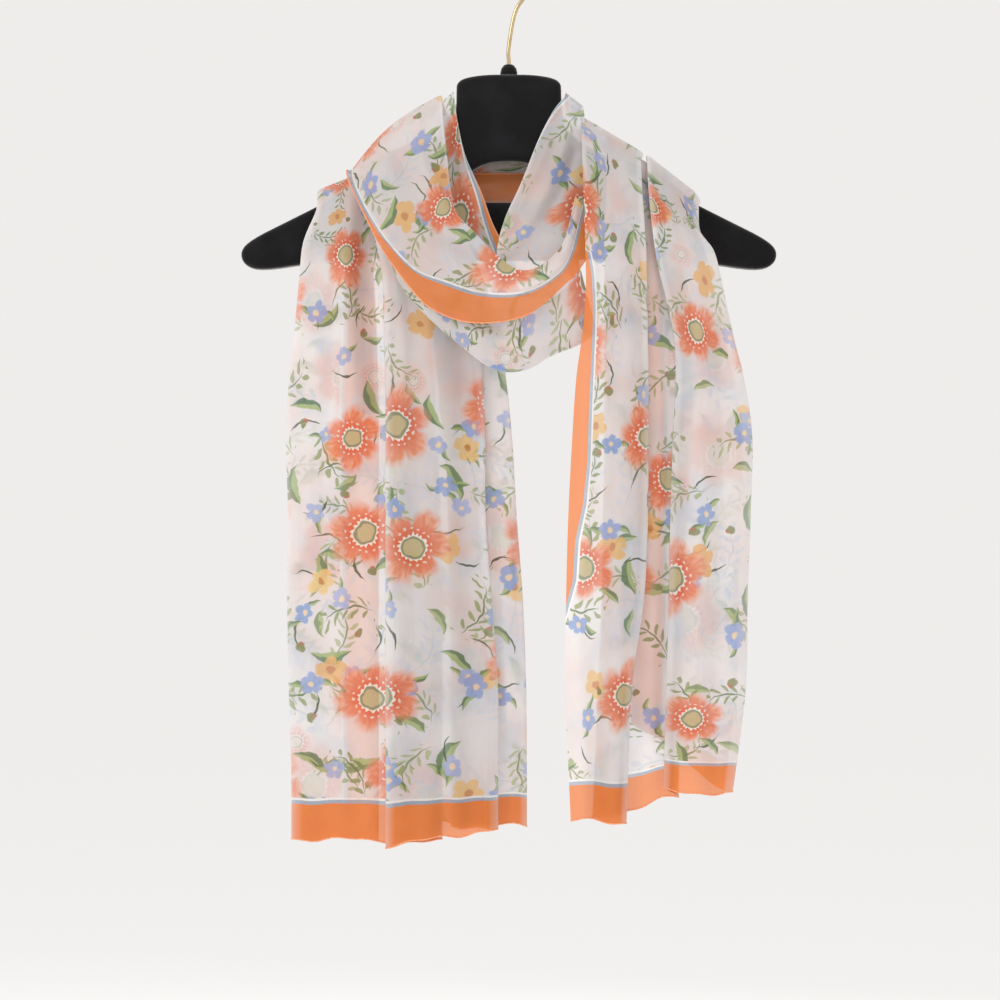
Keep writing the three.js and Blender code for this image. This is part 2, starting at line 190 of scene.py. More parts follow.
@dataclass(frozen=True)
class Chiffon:
    """Polyester chiffon: a crisp, sheer plain weave of twisted yarn, screen printed.

    Attributes:
        ground: The white ground of the print.
        blush: The pink of its watercolour clouds.
        haze: The blue-grey of its watercolour clouds.
        cover: How much of what is behind one layer hides, away from the print.
        printed_cover: The same where the ink is dense.
        thread: Spacing of the weave as drawn, in mm. The real one is 0.25 mm, which can't show here.
    """

    ground: str = "#f1edec"
    blush: str = "#f1dad5"
    haze: str = "#dadfe8"
    cover: float = 0.74
    printed_cover: float = 0.86
    thread: float = 1.1
    border: Border = field(default_factory=Border)

    def material(self) -> bpy.types.Material:
        """Build the chiffon: a soft, matt shader seen through by its open weave.

        Returns:
            The material, which reads the cloth's own UV map in metres and its edges attribute.
        """
        material = bpy.data.materials.new("Polyester chiffon, screen printed")
        material.use_nodes = True
        tree = material.node_tree
        tree.nodes.clear()
        uv = add(tree, "ShaderNodeAttribute", attribute_name="cloth").outputs["Vector"]
        flat = add(tree, "ShaderNodeVectorMath", (uv, (1 / MM, 1 / MM, 0)), operation="MULTIPLY")
        wobble = add(tree, "ShaderNodeTexNoise", {"Vector": flat, "Scale": 0.1, "Detail": 1.0})
        centred = add(tree, "ShaderNodeVectorMath", (wobble.outputs["Color"], (0.5, 0.5, 0.5)), operation="SUBTRACT")
        swayed = add(tree, "ShaderNodeVectorMath", (centred, (6.0, 6.0, 0), flat), operation="MULTIPLY_ADD")
        colour = self._clouds(tree, flat)
        ink: bpy.types.Node | None = None
        cells: dict[tuple[float, ...], Drawn] = {}
        for layer in PRINT_LAYERS:
            key = (layer.pitch, *layer.shift)
            if key not in cells:
                cells[key] = scattered_cells(tree, layer, swayed)
            colour, ink = draw_scatter(tree, layer, *cells[key], colour, ink)
        colour, ink = self._border(tree, colour, ink)
        self._surface(tree, flat, colour, ink)
        return material

    def _clouds(self, tree: bpy.types.NodeTree, flat: bpy.types.Node) -> bpy.types.Node:
        """Lay pink and blue-grey watercolour clouds on the ground."""
        first = add(tree, "ShaderNodeTexNoise", {"Vector": flat, "Scale": 0.016, "Detail": 3.0})
        second = add(tree, "ShaderNodeTexNoise", {"Vector": flat, "Scale": 0.022, "Detail": 4.0, "Distortion": 0.6})
        pink = add(tree, "ShaderNodeMapRange", {0: first, 1: 0.42, 2: 0.66, 3: 0.0, 4: 0.85})
        blue = add(tree, "ShaderNodeMapRange", {0: second, 1: 0.5, 2: 0.7, 3: 0.0, 4: 0.8})
        base = add(
            tree, "ShaderNodeMix", {0: pink, 6: linear(self.ground), 7: linear(self.blush)}, data_type="RGBA"
        )
        return add(tree, "ShaderNodeMix", {0: blue, 6: base, 7: linear(self.haze)}, data_type="RGBA")

    def _border(
        self, tree: bpy.types.NodeTree, colour: bpy.types.Node, ink: bpy.types.Node
    ) -> tuple[bpy.types.Node, bpy.types.Node]:
        """Print the border: a band, a thin stripe and a white line, along every edge."""
        edges = add(tree, "ShaderNodeAttribute", attribute_name="edges")
        sides = add(tree, "ShaderNodeSeparateXYZ", (edges.outputs["Vector"],))
        near = add(tree, "ShaderNodeMath", (sides.outputs[0], sides.outputs[1]), operation="MINIMUM")
        nearest = add(tree, "ShaderNodeMath", (near, sides.outputs[2]), operation="MINIMUM")
        border = self.border
        reaches = (
            (border.band + border.stripe + border.line, border.line_colour),
            (border.band + border.stripe, border.stripe_colour),
            (border.band, border.band_colour),
        )
        for reach, hex_colour in reaches:
            inside = add(tree, "ShaderNodeMath", (nearest, reach * MM), operation="LESS_THAN")
            colour = add(tree, "ShaderNodeMix", {0: inside, 6: colour, 7: linear(hex_colour)}, data_type="RGBA")
        ink = add(tree, "ShaderNodeMath", (ink, inside), operation="MAXIMUM")
        return colour, ink

    def _surface(
        self, tree: bpy.types.NodeTree, flat: bpy.types.Node, colour: bpy.types.Node, ink: bpy.types.Node
    ) -> None:
        """Add the weave, the sheer cover, the light that passes through the cloth, and a painted highlight that
        whitens the cloth along its folds.
        """
        wave = 2 * math.pi / self.thread
        axes = add(tree, "ShaderNodeSeparateXYZ", (flat,))
        threads = []
        for axis in (0, 1):
            turn = add(tree, "ShaderNodeMath", (axes.outputs[axis], wave), operation="MULTIPLY")
            threads.append(add(tree, "ShaderNodeMath", (turn,), operation="SINE"))
        weave = add(tree, "ShaderNodeMath", threads, operation="MULTIPLY")
        slub = add(tree, "ShaderNodeTexNoise", {"Vector": flat, "Scale": 0.7, "Detail": 3.0})
        cloth = add(tree, "ShaderNodeMath", (weave, 0.35, slub), operation="MULTIPLY_ADD")
        bump = add(tree, "ShaderNodeBump", {"Strength": 0.25, "Distance": 0.25 * MM, "Height": cloth})
        cover = add(tree, "ShaderNodeMapRange", {0: ink, 1: 0.0, 2: 1.0, 3: self.cover, 4: self.printed_cover})
        fold = add(tree, "ShaderNodeAttribute", attribute_name="fold").outputs["Fac"]
        cover = add(tree, "ShaderNodeMapRange", {0: fold, 1: 0.0, 2: 1.0, 3: cover, 4: 0.97})
        open_weave = add(tree, "ShaderNodeMath", (weave, 0.035, cover), operation="MULTIPLY_ADD")
        # painted highlight: along the folds the colour is mixed up to 35% towards white; the denser cover set just
        # above stands for the real edge-on cloth
        pale = add(tree, "ShaderNodeMath", (fold, 0.35), operation="MULTIPLY")
        colour = add(tree, "ShaderNodeMix", {0: pale, 6: colour, 7: linear("#ffffff")}, data_type="RGBA")
        matt = add(
            tree,
            "ShaderNodeBsdfPrincipled",
            {"Base Color": colour, "Roughness": 0.62, "IOR": 1.5, "Sheen Weight": 0.35, "Sheen Roughness": 0.4},
        )
        tree.links.new(bump.outputs[0], matt.inputs["Normal"])
        glow = add(tree, "ShaderNodeBsdfTranslucent", {"Color": colour})
        cloth_shader = add(tree, "ShaderNodeMixShader", (0.3, matt, glow))
        clear = add(tree, "ShaderNodeBsdfTransparent")
        sheer = add(tree, "ShaderNodeMixShader", (open_weave, clear, cloth_shader))
        add(tree, "ShaderNodeOutputMaterial", (sheer,))


Drawn = tuple[bpy.types.Node, bpy.types.Node]


def scattered_cells(tree: bpy.types.NodeTree, layer: Scatter, flat: bpy.types.Node) -> Drawn:
    """Scatter the cells that motifs are drawn in. Layers with the same pitch and shift share them.

    Args:
        tree: The material's node tree.
        layer: A scattering that uses these cells.
        flat: The place on the cloth, in mm.

    Returns:
        Three random numbers for each cell, and the place turned about its middle, in mm.
    """
    place = add(tree, "ShaderNodeVectorMath", (flat, (*layer.shift, 0.0)), operation="ADD")
    cells = add(
        tree,
        "ShaderNodeTexVoronoi",
        {"Vector": place, "Scale": 1 / layer.pitch, "Randomness": 0.62},
        voronoi_dimensions="2D",
    )
    random = add(tree, "ShaderNodeSeparateColor", (cells.outputs["Color"],))
    local = add(tree, "ShaderNodeVectorMath", (place, cells.outputs["Position"]), operation="SUBTRACT")
    angle = add(tree, "ShaderNodeMath", (random.outputs[0], 2 * math.pi), operation="MULTIPLY")
    turned = add(
        tree, "ShaderNodeVectorRotate", {"Vector": local, "Angle": angle}, rotation_type="Z_AXIS"
    )
    return random, turned


def draw_scatter(
    tree: bpy.types.NodeTree,
    layer: Scatter,
    random: bpy.types.Node,
    turned: bpy.types.Node,
    under: bpy.types.Node,
    ink: bpy.types.Node | None,
) -> Drawn:
    """Print one scattering of a motif over the colours below it.

    Args:
        tree: The material's node tree.
        layer: What is scattered, and how.
        random: Three random numbers for each cell.
        turned: The place turned about the cell's middle, in mm.
        under: The colour so far.
        ink: How much ink there is so far, or None.

    Returns:
        The new colour and the new amount of ink.
    """
    if layer.beside or layer.aside:
        turned = add(
            tree, "ShaderNodeVectorMath", (turned, (layer.beside, layer.aside, 0.0)), operation="SUBTRACT"
        )
    grown = add(tree, "ShaderNodeMapRange", {0: random.outputs[2], 1: 0.0, 2: 1.0, 3: 1.14, 4: 0.9})
    turned = add(tree, "ShaderNodeVectorMath", {0: turned, "Scale": grown}, operation="SCALE")
    axes = add(tree, "ShaderNodeSeparateXYZ", (turned,))
    shape, shade = SHAPES[layer.motif](tree, layer, axes.outputs[0], axes.outputs[1])
    present = add(tree, "ShaderNodeMath", (random.outputs[1], layer.share), operation="LESS_THAN")
    mask = add(tree, "ShaderNodeMath", (shape, present), operation="MULTIPLY")
    mask = add(tree, "ShaderNodeMath", (mask, layer.strength), operation="MULTIPLY")
    pair = [linear(colour) for colour in layer.colours]
    body = add(tree, "ShaderNodeMix", {0: random.outputs[2], 6: pair[0], 7: pair[1]}, data_type="RGBA")
    if layer.motif is Motif.BLOOM:
        tint = bloom_colours(tree, layer, axes.outputs[0], axes.outputs[1], body, shade)
    else:
        tint = add(tree, "ShaderNodeMix", {0: shade, 6: body, 7: linear(layer.accent)}, data_type="RGBA")
    colour = add(tree, "ShaderNodeMix", {0: mask, 6: under, 7: tint}, data_type="RGBA")
    total = mask if ink is None else add(tree, "ShaderNodeMath", (ink, mask), operation="MAXIMUM")
    return colour, total


Socket = bpy.types.NodeSocket


def petals(
    tree: bpy.types.NodeTree, size: float, count: int, notch: float, soft: float, x: Socket, y: Socket
) -> Drawn:
    """Draw a ring of round petals of uneven length.

    Args:
        tree: The material's node tree.
        size: Radius of the flower, in mm.
        count: How many petals.
        notch: How deep the gaps between petals cut, from 0 to 1.
        soft: How far the colour bleeds at the rim, in mm.
        x: First coordinate in the cell, in mm.
        y: Second coordinate in the cell, in mm.

    Returns:
        The mask of the flower, and the distance from its middle.
    """
    spot = add(tree, "ShaderNodeCombineXYZ", (x, y))
    reach = add(tree, "ShaderNodeVectorMath", (spot,), operation="LENGTH").outputs["Value"]
    angle = add(tree, "ShaderNodeMath", (y, x), operation="ARCTAN2")
    half = add(tree, "ShaderNodeMath", (angle, count / 2), operation="MULTIPLY")
    lobes = add(tree, "ShaderNodeMath", (half,), operation="COSINE")
    round_lobes = add(tree, "ShaderNodeMath", (lobes,), operation="ABSOLUTE")
    eased = add(tree, "ShaderNodeMath", (round_lobes, 0.45), operation="POWER")
    uneven = add(tree, "ShaderNodeMath", (angle, 2.0), operation="MULTIPLY_ADD")
    uneven = add(tree, "ShaderNodeMath", (uneven,), operation="SINE")
    full = add(tree, "ShaderNodeMath", (uneven, size * 0.09, size * (1 - notch)), operation="MULTIPLY_ADD")
    rim = add(tree, "ShaderNodeMath", (eased, size * notch, full), operation="MULTIPLY_ADD")
    room = add(tree, "ShaderNodeMath", (rim, reach), operation="SUBTRACT")
    mask = add(tree, "ShaderNodeMapRange", {0: room, 1: -0.25, 2: soft, 3: 0.0, 4: 1.0})
    return mask, reach


def draw_star(tree: bpy.types.NodeTree, layer: Scatter, x: Socket, y: Socket) -> Drawn:
    """Draw a small five-petalled flower, and the shade of its centre."""
    mask, reach = petals(tree, layer.size, 5, 0.45, 0.9, x, y)
    centre = add(
        tree, "ShaderNodeMapRange", {0: reach, 1: layer.size * 0.2, 2: layer.size * 0.3, 3: 1.0, 4: 0.0}
    )
    return mask, centre


def draw_bud(tree: bpy.types.NodeTree, layer: Scatter, x: Socket, y: Socket) -> Drawn:
    """Draw a round bud with a coloured tip."""
    mask, _ = petals(tree, layer.size, 3, 0.25, 0.6, x, y)
    tip = add(tree, "ShaderNodeMapRange", {0: x, 1: layer.size * 0.3, 2: layer.size * 0.8, 3: 0.0, 4: 1.0})
    return mask, tip


def draw_bloom(tree: bpy.types.NodeTree, layer: Scatter, x: Socket, y: Socket) -> Drawn:
    """Draw a large flower whose six petals bleed out at the rim, and the distance from its middle."""
    return petals(tree, layer.size, 6, 0.36, layer.size * 0.24, x, y)


def bloom_colours(
    tree: bpy.types.NodeTree,
    layer: Scatter,
    x: Socket,
    y: Socket,
    body: bpy.types.Node,
    reach: bpy.types.Node,
) -> bpy.types.Node:
    """Colour a large flower: streaked petals, a deep throat, a pale ring, red dots and a disc."""
    size = layer.size
    angle = add(tree, "ShaderNodeMath", (y, x), operation="ARCTAN2")
    ray = add(tree, "ShaderNodeCombineXYZ", (angle, reach))
    ray = add(tree, "ShaderNodeVectorMath", (ray, (7.0, 0.12, 0.0)), operation="MULTIPLY")
    streaks = add(tree, "ShaderNodeTexNoise", {"Vector": ray, "Scale": 1.0, "Detail": 3.0})
    wash = add(tree, "ShaderNodeMapRange", {0: streaks, 1: 0.42, 2: 0.64, 3: 0.0, 4: 0.68})
    out = add(tree, "ShaderNodeMapRange", {0: reach, 1: size * 0.35, 2: size * 0.9, 3: 0.25, 4: 1.0})
    wash = add(tree, "ShaderNodeMath", (wash, out), operation="MULTIPLY")
    colour = add(tree, "ShaderNodeMix", {0: wash, 6: body, 7: linear("#fbcdb6")}, data_type="RGBA")
    throat = add(tree, "ShaderNodeMapRange", {0: reach, 1: size * 0.34, 2: size * 0.72, 3: 0.9, 4: 0.0})
    colour = add(tree, "ShaderNodeMix", {0: throat, 6: colour, 7: linear("#e65f36")}, data_type="RGBA")
    beads = add(tree, "ShaderNodeMath", (angle, 17.0), operation="MULTIPLY")
    beads = add(tree, "ShaderNodeMath", (beads,), operation="SINE")
    near = add(tree, "ShaderNodeMath", (reach, size * 0.47), operation="SUBTRACT")
    near = add(tree, "ShaderNodeMath", (near,), operation="ABSOLUTE")
    dots = add(tree, "ShaderNodeMath", (beads, 0.9, 0.1), operation="MULTIPLY_ADD")
    dots = add(tree, "ShaderNodeMath", (dots, near), operation="SUBTRACT")
    dots = add(tree, "ShaderNodeMapRange", {0: dots, 1: 0.0, 2: 0.3, 3: 0.0, 4: 0.9})
    colour = add(tree, "ShaderNodeMix", {0: dots, 6: colour, 7: linear("#fbe3d2")}, data_type="RGBA")
    ring_out = add(tree, "ShaderNodeMath", (beads, size * 0.028, size * 0.35), operation="MULTIPLY_ADD")
    rings = ((ring_out, "#fdf4e6"), (size * 0.3, "#8f9470"), (size * 0.235, layer.accent))
    for edge, hex_colour in rings:
        room = add(tree, "ShaderNodeMath", (edge, reach), operation="SUBTRACT")
        inside = add(tree, "ShaderNodeMapRange", {0: room, 1: -0.25, 2: 0.35, 3: 0.0, 4: 1.0})
        colour = add(tree, "ShaderNodeMix", {0: inside, 6: colour, 7: linear(hex_colour)}, data_type="RGBA")
    return colour


def draw_leaf(tree: bpy.types.NodeTree, layer: Scatter, x: Socket, y: Socket) -> Drawn:
    """Draw a pointed leaf, slightly bent, and the pale half beside its midrib."""
    length = layer.size
    bent = add(tree, "ShaderNodeMath", (x, x), operation="MULTIPLY")
    across = add(tree, "ShaderNodeMath", (bent, -0.35 / length, y), operation="MULTIPLY_ADD")
    side = add(tree, "ShaderNodeMath", (across,), operation="ABSOLUTE")
    rim = add(tree, "ShaderNodeMath", (bent, -0.3 / length, 0.3 * length), operation="MULTIPLY_ADD")
    room = add(tree, "ShaderNodeMath", (rim, side), operation="SUBTRACT")
    mask = add(tree, "ShaderNodeMapRange", {0: room, 1: -0.2, 2: 0.5, 3: 0.0, 4: 1.0})
    pale_half = add(tree, "ShaderNodeMapRange", {0: across, 1: -0.25, 2: 0.35, 3: 0.0, 4: 0.9})
    return mask, pale_half


def draw_twig(tree: bpy.types.NodeTree, layer: Scatter, x: Socket, y: Socket) -> Drawn:
    """Draw a thin curved stem."""
    bent = add(tree, "ShaderNodeMath", (x, x), operation="MULTIPLY")
    across = add(tree, "ShaderNodeMath", (bent, -0.4 / layer.size, y), operation="MULTIPLY_ADD")
    side = add(tree, "ShaderNodeMath", (across,), operation="ABSOLUTE")
    taper = add(tree, "ShaderNodeMath", (x, 1.0 / layer.size, 0.15), operation="MULTIPLY_ADD")
    taper = add(tree, "ShaderNodeMath", (taper, taper), operation="MULTIPLY")
    rim = add(tree, "ShaderNodeMath", (taper, -0.95, 1.05), operation="MULTIPLY_ADD")
    room = add(tree, "ShaderNodeMath", (rim, side), operation="SUBTRACT")
    line = add(tree, "ShaderNodeMapRange", {0: room, 1: 0.0, 2: 0.4, 3: 0.0, 4: 1.0})
    along = add(tree, "ShaderNodeMath", (x,), operation="ABSOLUTE")
    ends = add(tree, "ShaderNodeMath", (along, layer.size), operation="LESS_THAN")
    return add(tree, "ShaderNodeMath", (line, ends), operation="MULTIPLY"), line


def draw_sprig(tree: bpy.types.NodeTree, layer: Scatter, x: Socket, y: Socket) -> Drawn:
    """Draw a curved stem with slanted leaflets in pairs, and the shade of its stem."""
    stem, line = draw_twig(tree, layer, x, y)
    bent = add(tree, "ShaderNodeMath", (x, x), operation="MULTIPLY")
    across = add(tree, "ShaderNodeMath", (bent, -0.4 / layer.size, y), operation="MULTIPLY_ADD")
    side = add(tree, "ShaderNodeMath", (across,), operation="ABSOLUTE")
    step = layer.size * 0.36
    slant = add(tree, "ShaderNodeMath", (side, -0.75, x), operation="MULTIPLY_ADD")
    place = add(tree, "ShaderNodeMath", (slant, step), operation="FLOORED_MODULO")
    from_rib = add(tree, "ShaderNodeMath", (place, step / 2), operation="SUBTRACT")
    thick = add(tree, "ShaderNodeMath", (from_rib,), operation="ABSOLUTE")
    out = add(tree, "ShaderNodeMath", (side, step * 0.62), operation="SUBTRACT")
    out = add(tree, "ShaderNodeMath", (out, out), operation="MULTIPLY")
    rim = add(tree, "ShaderNodeMath", (out, -1.0 / step, step * 0.24), operation="MULTIPLY_ADD")
    room = add(tree, "ShaderNodeMath", (rim, thick), operation="SUBTRACT")
    leaflets = add(tree, "ShaderNodeMapRange", {0: room, 1: -0.15, 2: 0.3, 3: 0.0, 4: 1.0})
    along = add(tree, "ShaderNodeMath", (x,), operation="ABSOLUTE")
    ends = add(tree, "ShaderNodeMath", (along, layer.size), operation="LESS_THAN")
    leaflets = add(tree, "ShaderNodeMath", (leaflets, ends), operation="MULTIPLY")
    return add(tree, "ShaderNodeMath", (stem, leaflets), operation="MAXIMUM"), line


SHAPES: dict[Motif, Callable[..., Drawn]] = {
    Motif.BLOOM: draw_bloom,
    Motif.STAR: draw_star,
    Motif.LEAF: draw_leaf,
    Motif.SPRIG: draw_sprig,
    Motif.TWIG: draw_twig,
    Motif.BUD: draw_bud,
}


@dataclass(frozen=True)
class Flock:
    """Black nylon flock on a moulded hanger: short fibres that drink the light and glow at the rim."""

    colour: str = "#141315"
    rub: str = "#2b2a2d"

    def material(self) -> bpy.types.Material:
        """Build the flock with its pile, sheen and slight rubbing."""
        material = bpy.data.materials.new("Nylon flock, electrostatic, black")
        material.use_nodes = True
        tree = material.node_tree
        tree.nodes.clear()
        place = add(tree, "ShaderNodeTexCoord")
        pile = add(
            tree, "ShaderNodeTexNoise", {"Vector": place.outputs["Object"], "Scale": 900.0, "Detail": 2.0}
        )
        patches = add(
            tree, "ShaderNodeTexNoise", {"Vector": place.outputs["Object"], "Scale": 28.0, "Detail": 4.0}
        )
        rub = add(tree, "ShaderNodeMapRange", {0: patches, 1: 0.45, 2: 0.75, 3: 0.0, 4: 0.5})
        colour = add(tree, "ShaderNodeMix", {0: rub, 6: linear(self.colour), 7: linear(self.rub)}, data_type="RGBA")
        bump = add(tree, "ShaderNodeBump", {"Strength": 0.6, "Distance": 0.4 * MM, "Height": pile})
        matt = add(
            tree,
            "ShaderNodeBsdfPrincipled",
            {
                "Base Color": colour,
                "Roughness": 0.95,
                "Specular IOR Level": 0.2,
                "Sheen Weight": 0.6,
                "Sheen Roughness": 0.35,
                "Normal": bump,
            },
        )
        add(tree, "ShaderNodeOutputMaterial", (matt,))
        return material


@dataclass(frozen=True)
class Brass:
    """Drawn brass wire, lacquered: pale gold with fine lengthwise drawing lines."""

    colour: str = "#c2ae86"
    tarnish: str = "#94805a"

    def material(self) -> bpy.types.Material:
        """Build the wire's metal with drawing lines and a little tarnish."""
        material = bpy.data.materials.new("Brass wire, drawn and lacquered")
        material.use_nodes = True
        tree = material.node_tree
        tree.nodes.clear()
        place = add(tree, "ShaderNodeTexCoord")
        lines = add(
            tree, "ShaderNodeTexNoise", {"Vector": place.outputs["Object"], "Scale": 1400.0, "Detail": 2.0}
        )
        spots = add(
            tree, "ShaderNodeTexNoise", {"Vector": place.outputs["Object"], "Scale": 60.0, "Detail": 5.0}
        )
        worn = add(tree, "ShaderNodeMapRange", {0: spots, 1: 0.5, 2: 0.75, 3: 0.0, 4: 0.4})
        colour = add(
            tree, "ShaderNodeMix", {0: worn, 6: linear(self.colour), 7: linear(self.tarnish)}, data_type="RGBA"
        )
        rough = add(tree, "ShaderNodeMapRange", {0: spots, 1: 0.3, 2: 0.7, 3: 0.2, 4: 0.36})
        bump = add(tree, "ShaderNodeBump", {"Strength": 0.02, "Distance": 0.02 * MM, "Height": lines})
        metal = add(
            tree,
            "ShaderNodeBsdfPrincipled",
            {"Base Color": colour, "Metallic": 1.0, "Roughness": rough, "Coat Weight": 0.2, "Normal": bump},
        )
        add(tree, "ShaderNodeOutputMaterial", (metal,))
        return material


@dataclass(frozen=True)
class SewingThread:
    """Polyester thread in one colour: matt, with a little sheen from its twist."""

    name: str
    colour: str

    def material(self) -> bpy.types.Material:
        """Build the thread, a shade uneven along its length."""
        material = bpy.data.materials.new(self.name)
        material.use_nodes = True
        tree = material.node_tree
        tree.nodes.clear()
        place = add(tree, "ShaderNodeTexCoord")
        twist = add(
            tree, "ShaderNodeTexNoise", {"Vector": place.outputs["Object"], "Scale": 700.0, "Detail": 2.0}
        )
        tint = add(tree, "ShaderNodeMapRange", {0: twist, 1: 0.3, 2: 0.7, 3: 0.0, 4: 0.35})
        colour = add(
            tree, "ShaderNodeMix", {0: tint, 6: linear(self.colour), 7: linear("#ffe9d6")}, data_type="RGBA"
        )
        bump = add(tree, "ShaderNodeBump", {"Strength": 0.3, "Distance": 0.1 * MM, "Height": twist})
        matt = add(
            tree,
            "ShaderNodeBsdfPrincipled",
            {"Base Color": colour, "Roughness": 0.55, "Sheen Weight": 0.3, "Normal": bump},
        )
        add(tree, "ShaderNodeOutputMaterial", (matt,))
        return material


# ---------------------------------------------------------------- cloth shapes

LAYER = 3.3  # step from one folded layer to the next
SETBACK = 1.4  # how far a fold starts before its outermost point
FRONT = np.array((0.0, -1.0, 0.0))
FRONT_TOP = np.array((0.0, -0.8, 0.6))
UP = np.array((0.0, 0.0, 1.0))
BACK_TOP = np.array((0.0, 0.8, 0.6))
BACK = np.array((0.0, 1.0, 0.0))
PANEL_POINTS = 20  # points across one folded panel
TIP_POINTS = 6  # steps round one fold
ROW_SPACING = 4.0  # mm between rows along the strip


def unit(vector: np.ndarray) -> np.ndarray:
    """Return the vector at length 1."""
    return vector / max(float(np.linalg.norm(vector)), 1e-9)


def section(rails: Sequence[np.ndarray], depths: Sequence[int], out: np.ndarray, step: float = LAYER) -> Grid:
    """Lay one folded section across the cloth.

    Args:
        rails: The fold lines and the two edges, as points.
        depths: The layer that each panel between two rails lies in, counted along out.
        out: The direction in which the layers stack.
        step: The distance between layers.

    Returns:
        Points across the section: flat panels joined by round folds.
    """
    rails = [np.asarray(rail, float) for rail in rails]
    along = [unit(b - a) for a, b in zip(rails, rails[1:])]
    last = len(depths) - 1
    starts, ends, tips = [], [], []
    for j, depth in enumerate(depths):
        raised = out * depth * step
        starts.append(rails[j] + along[j] * (SETBACK if j > 0 else 0.0) + raised)
        ends.append(rails[j + 1] - along[j] * (SETBACK if j < last else 0.0) + raised)
        if j < last:
            reach = abs(depths[j + 1] - depth) * step / 2
            middle = out * (depth + depths[j + 1]) / 2 * step
            tips.append(rails[j + 1] + middle + (along[j] - along[j + 1]) * reach / 2)
    points = []
    for j in range(last + 1):
        for k in range(PANEL_POINTS):
            t = k / (PANEL_POINTS - 1)
            points.append(starts[j] * (1 - t) + ends[j] * t)
        if j < last:
            pull = 2 * tips[j] - (ends[j] + starts[j + 1]) / 2
            for k in range(1, TIP_POINTS):
                t = k / TIP_POINTS
                points.append((1 - t) ** 2 * ends[j] + 2 * t * (1 - t) * pull + t**2 * starts[j + 1])
    return np.array(points)


def sweep(sections: Sequence[np.ndarray], spacing: float = ROW_SPACING) -> tuple[Grid, np.ndarray]:
    """Run a smooth curve through the sections at each point across.

    Args:
        sections: Sections with the same number of points.
        spacing: The largest distance between rows, in mm.

    Returns:
        The rows, and for each row its place counted in sections.
    """
    knots = np.array(sections)
    ends = (2 * knots[:1] - knots[1:2], knots, 2 * knots[-1:] - knots[-2:-1])
    padded = np.concatenate(ends)
    rows, places = [], []
    for i in range(len(knots) - 1):
        a, b, c, d = padded[i : i + 4]
        reach = float(np.median(np.linalg.norm(c - b, axis=1)))
        count = max(2, math.ceil(reach / spacing))
        for k in range(count):
            t = k / count
            rows.append(
                0.5 * (2 * b + (c - a) * t + (2 * a - 5 * b + 4 * c - d) * t**2 + (3 * b - a - 3 * c + d) * t**3)
            )
            places.append(i + t)
    rows.append(knots[-1])
    places.append(len(knots) - 1.0)
    return np.array(rows), np.array(places)


def on_line(line: Sequence[tuple[float, float]], x: float) -> float:
    """Return the height of a line of (x, z) points at x, running on past its ends."""
    index = next((i for i, (at, _) in enumerate(line) if at >= x), -1)
    index = max(1, index if index >= 0 else 1)
    (x0, z0), (x1, z1) = line[index - 1], line[index]
    return z0 + (z1 - z0) * (x - x0) / (x1 - x0)


def finer(rows: Sequence[np.ndarray], count: int) -> Grid:
    """Put count points on a smooth curve through the points of each row."""
    knots = np.array(rows)
    last = knots.shape[1] - 1
    padded = np.concatenate((2 * knots[:, :1] - knots[:, 1:2], knots, 2 * knots[:, -1:] - knots[:, -2:-1]), axis=1)
    out = []
    for at in np.linspace(0, last, count):
        i = min(int(at), last - 1)
        t = at - i
        a, b, c, d = (padded[:, i + k] for k in range(4))
        out.append(
            0.5 * (2 * b + (c - a) * t + (2 * a - 5 * b + 4 * c - d) * t**2 + (3 * b - a - 3 * c + d) * t**3)
        )
    return np.stack(out, axis=1)


@dataclass(frozen=True)
class Crease:
    """One crease or soft fold, pushed out of the cloth along a line.

    Attributes:
        path: Points (x, z) on the crease, in mm.
        width: Half width of the ridge, in mm.
        height: How far it stands out, in mm; below zero it is a hollow.
        back: Whether it is on the back of the piece.
    """

    path: tuple[tuple[float, float], ...]
    width: float
    height: float
    back: bool = False

    def lift(self, x: np.ndarray, z: np.ndarray) -> np.ndarray:
        """Return how far the crease lifts the cloth at each place."""
        nearest = np.full(x.shape, 1e9)
        for (x0, z0), (x1, z1) in zip(self.path, self.path[1:]):
            length = (x1 - x0) ** 2 + (z1 - z0) ** 2
            t = np.clip(((x - x0) * (x1 - x0) + (z - z0) * (z1 - z0)) / length, 0, 1)
            gap = (x - x0 - t * (x1 - x0)) ** 2 + (z - z0 - t * (z1 - z0)) ** 2
            nearest = np.minimum(nearest, gap)
        return self.height * np.exp(-nearest / self.width**2)


def crinkle(x: np.ndarray, z: np.ndarray) -> np.ndarray:
    """Return the slight unevenness of hanging chiffon, the same for all layers at one place."""
    waves = (
        (0.55, 0.085, 0.006, 0.4),
        (0.4, 0.15, -0.011, 2.1),
        (0.3, 0.047, 0.034, 1.2),
        (0.22, 0.21, 0.05, 4.4),
        (0.16, -0.12, 0.16, 0.7),
        (0.12, 0.33, 0.02, 3.3),
        (0.09, 0.2, -0.31, 5.1),
    )
    total = np.zeros_like(x)
    for height, across, down, phase in waves:
        total += height * np.sin(across * x + down * z + phase)
    return total


DEEPEN = 1.5  # how much deeper the folds hang than their heights at rest on a table
DEEPEST = 8.0  # the furthest that cloth in front may sink towards the hanger, in mm


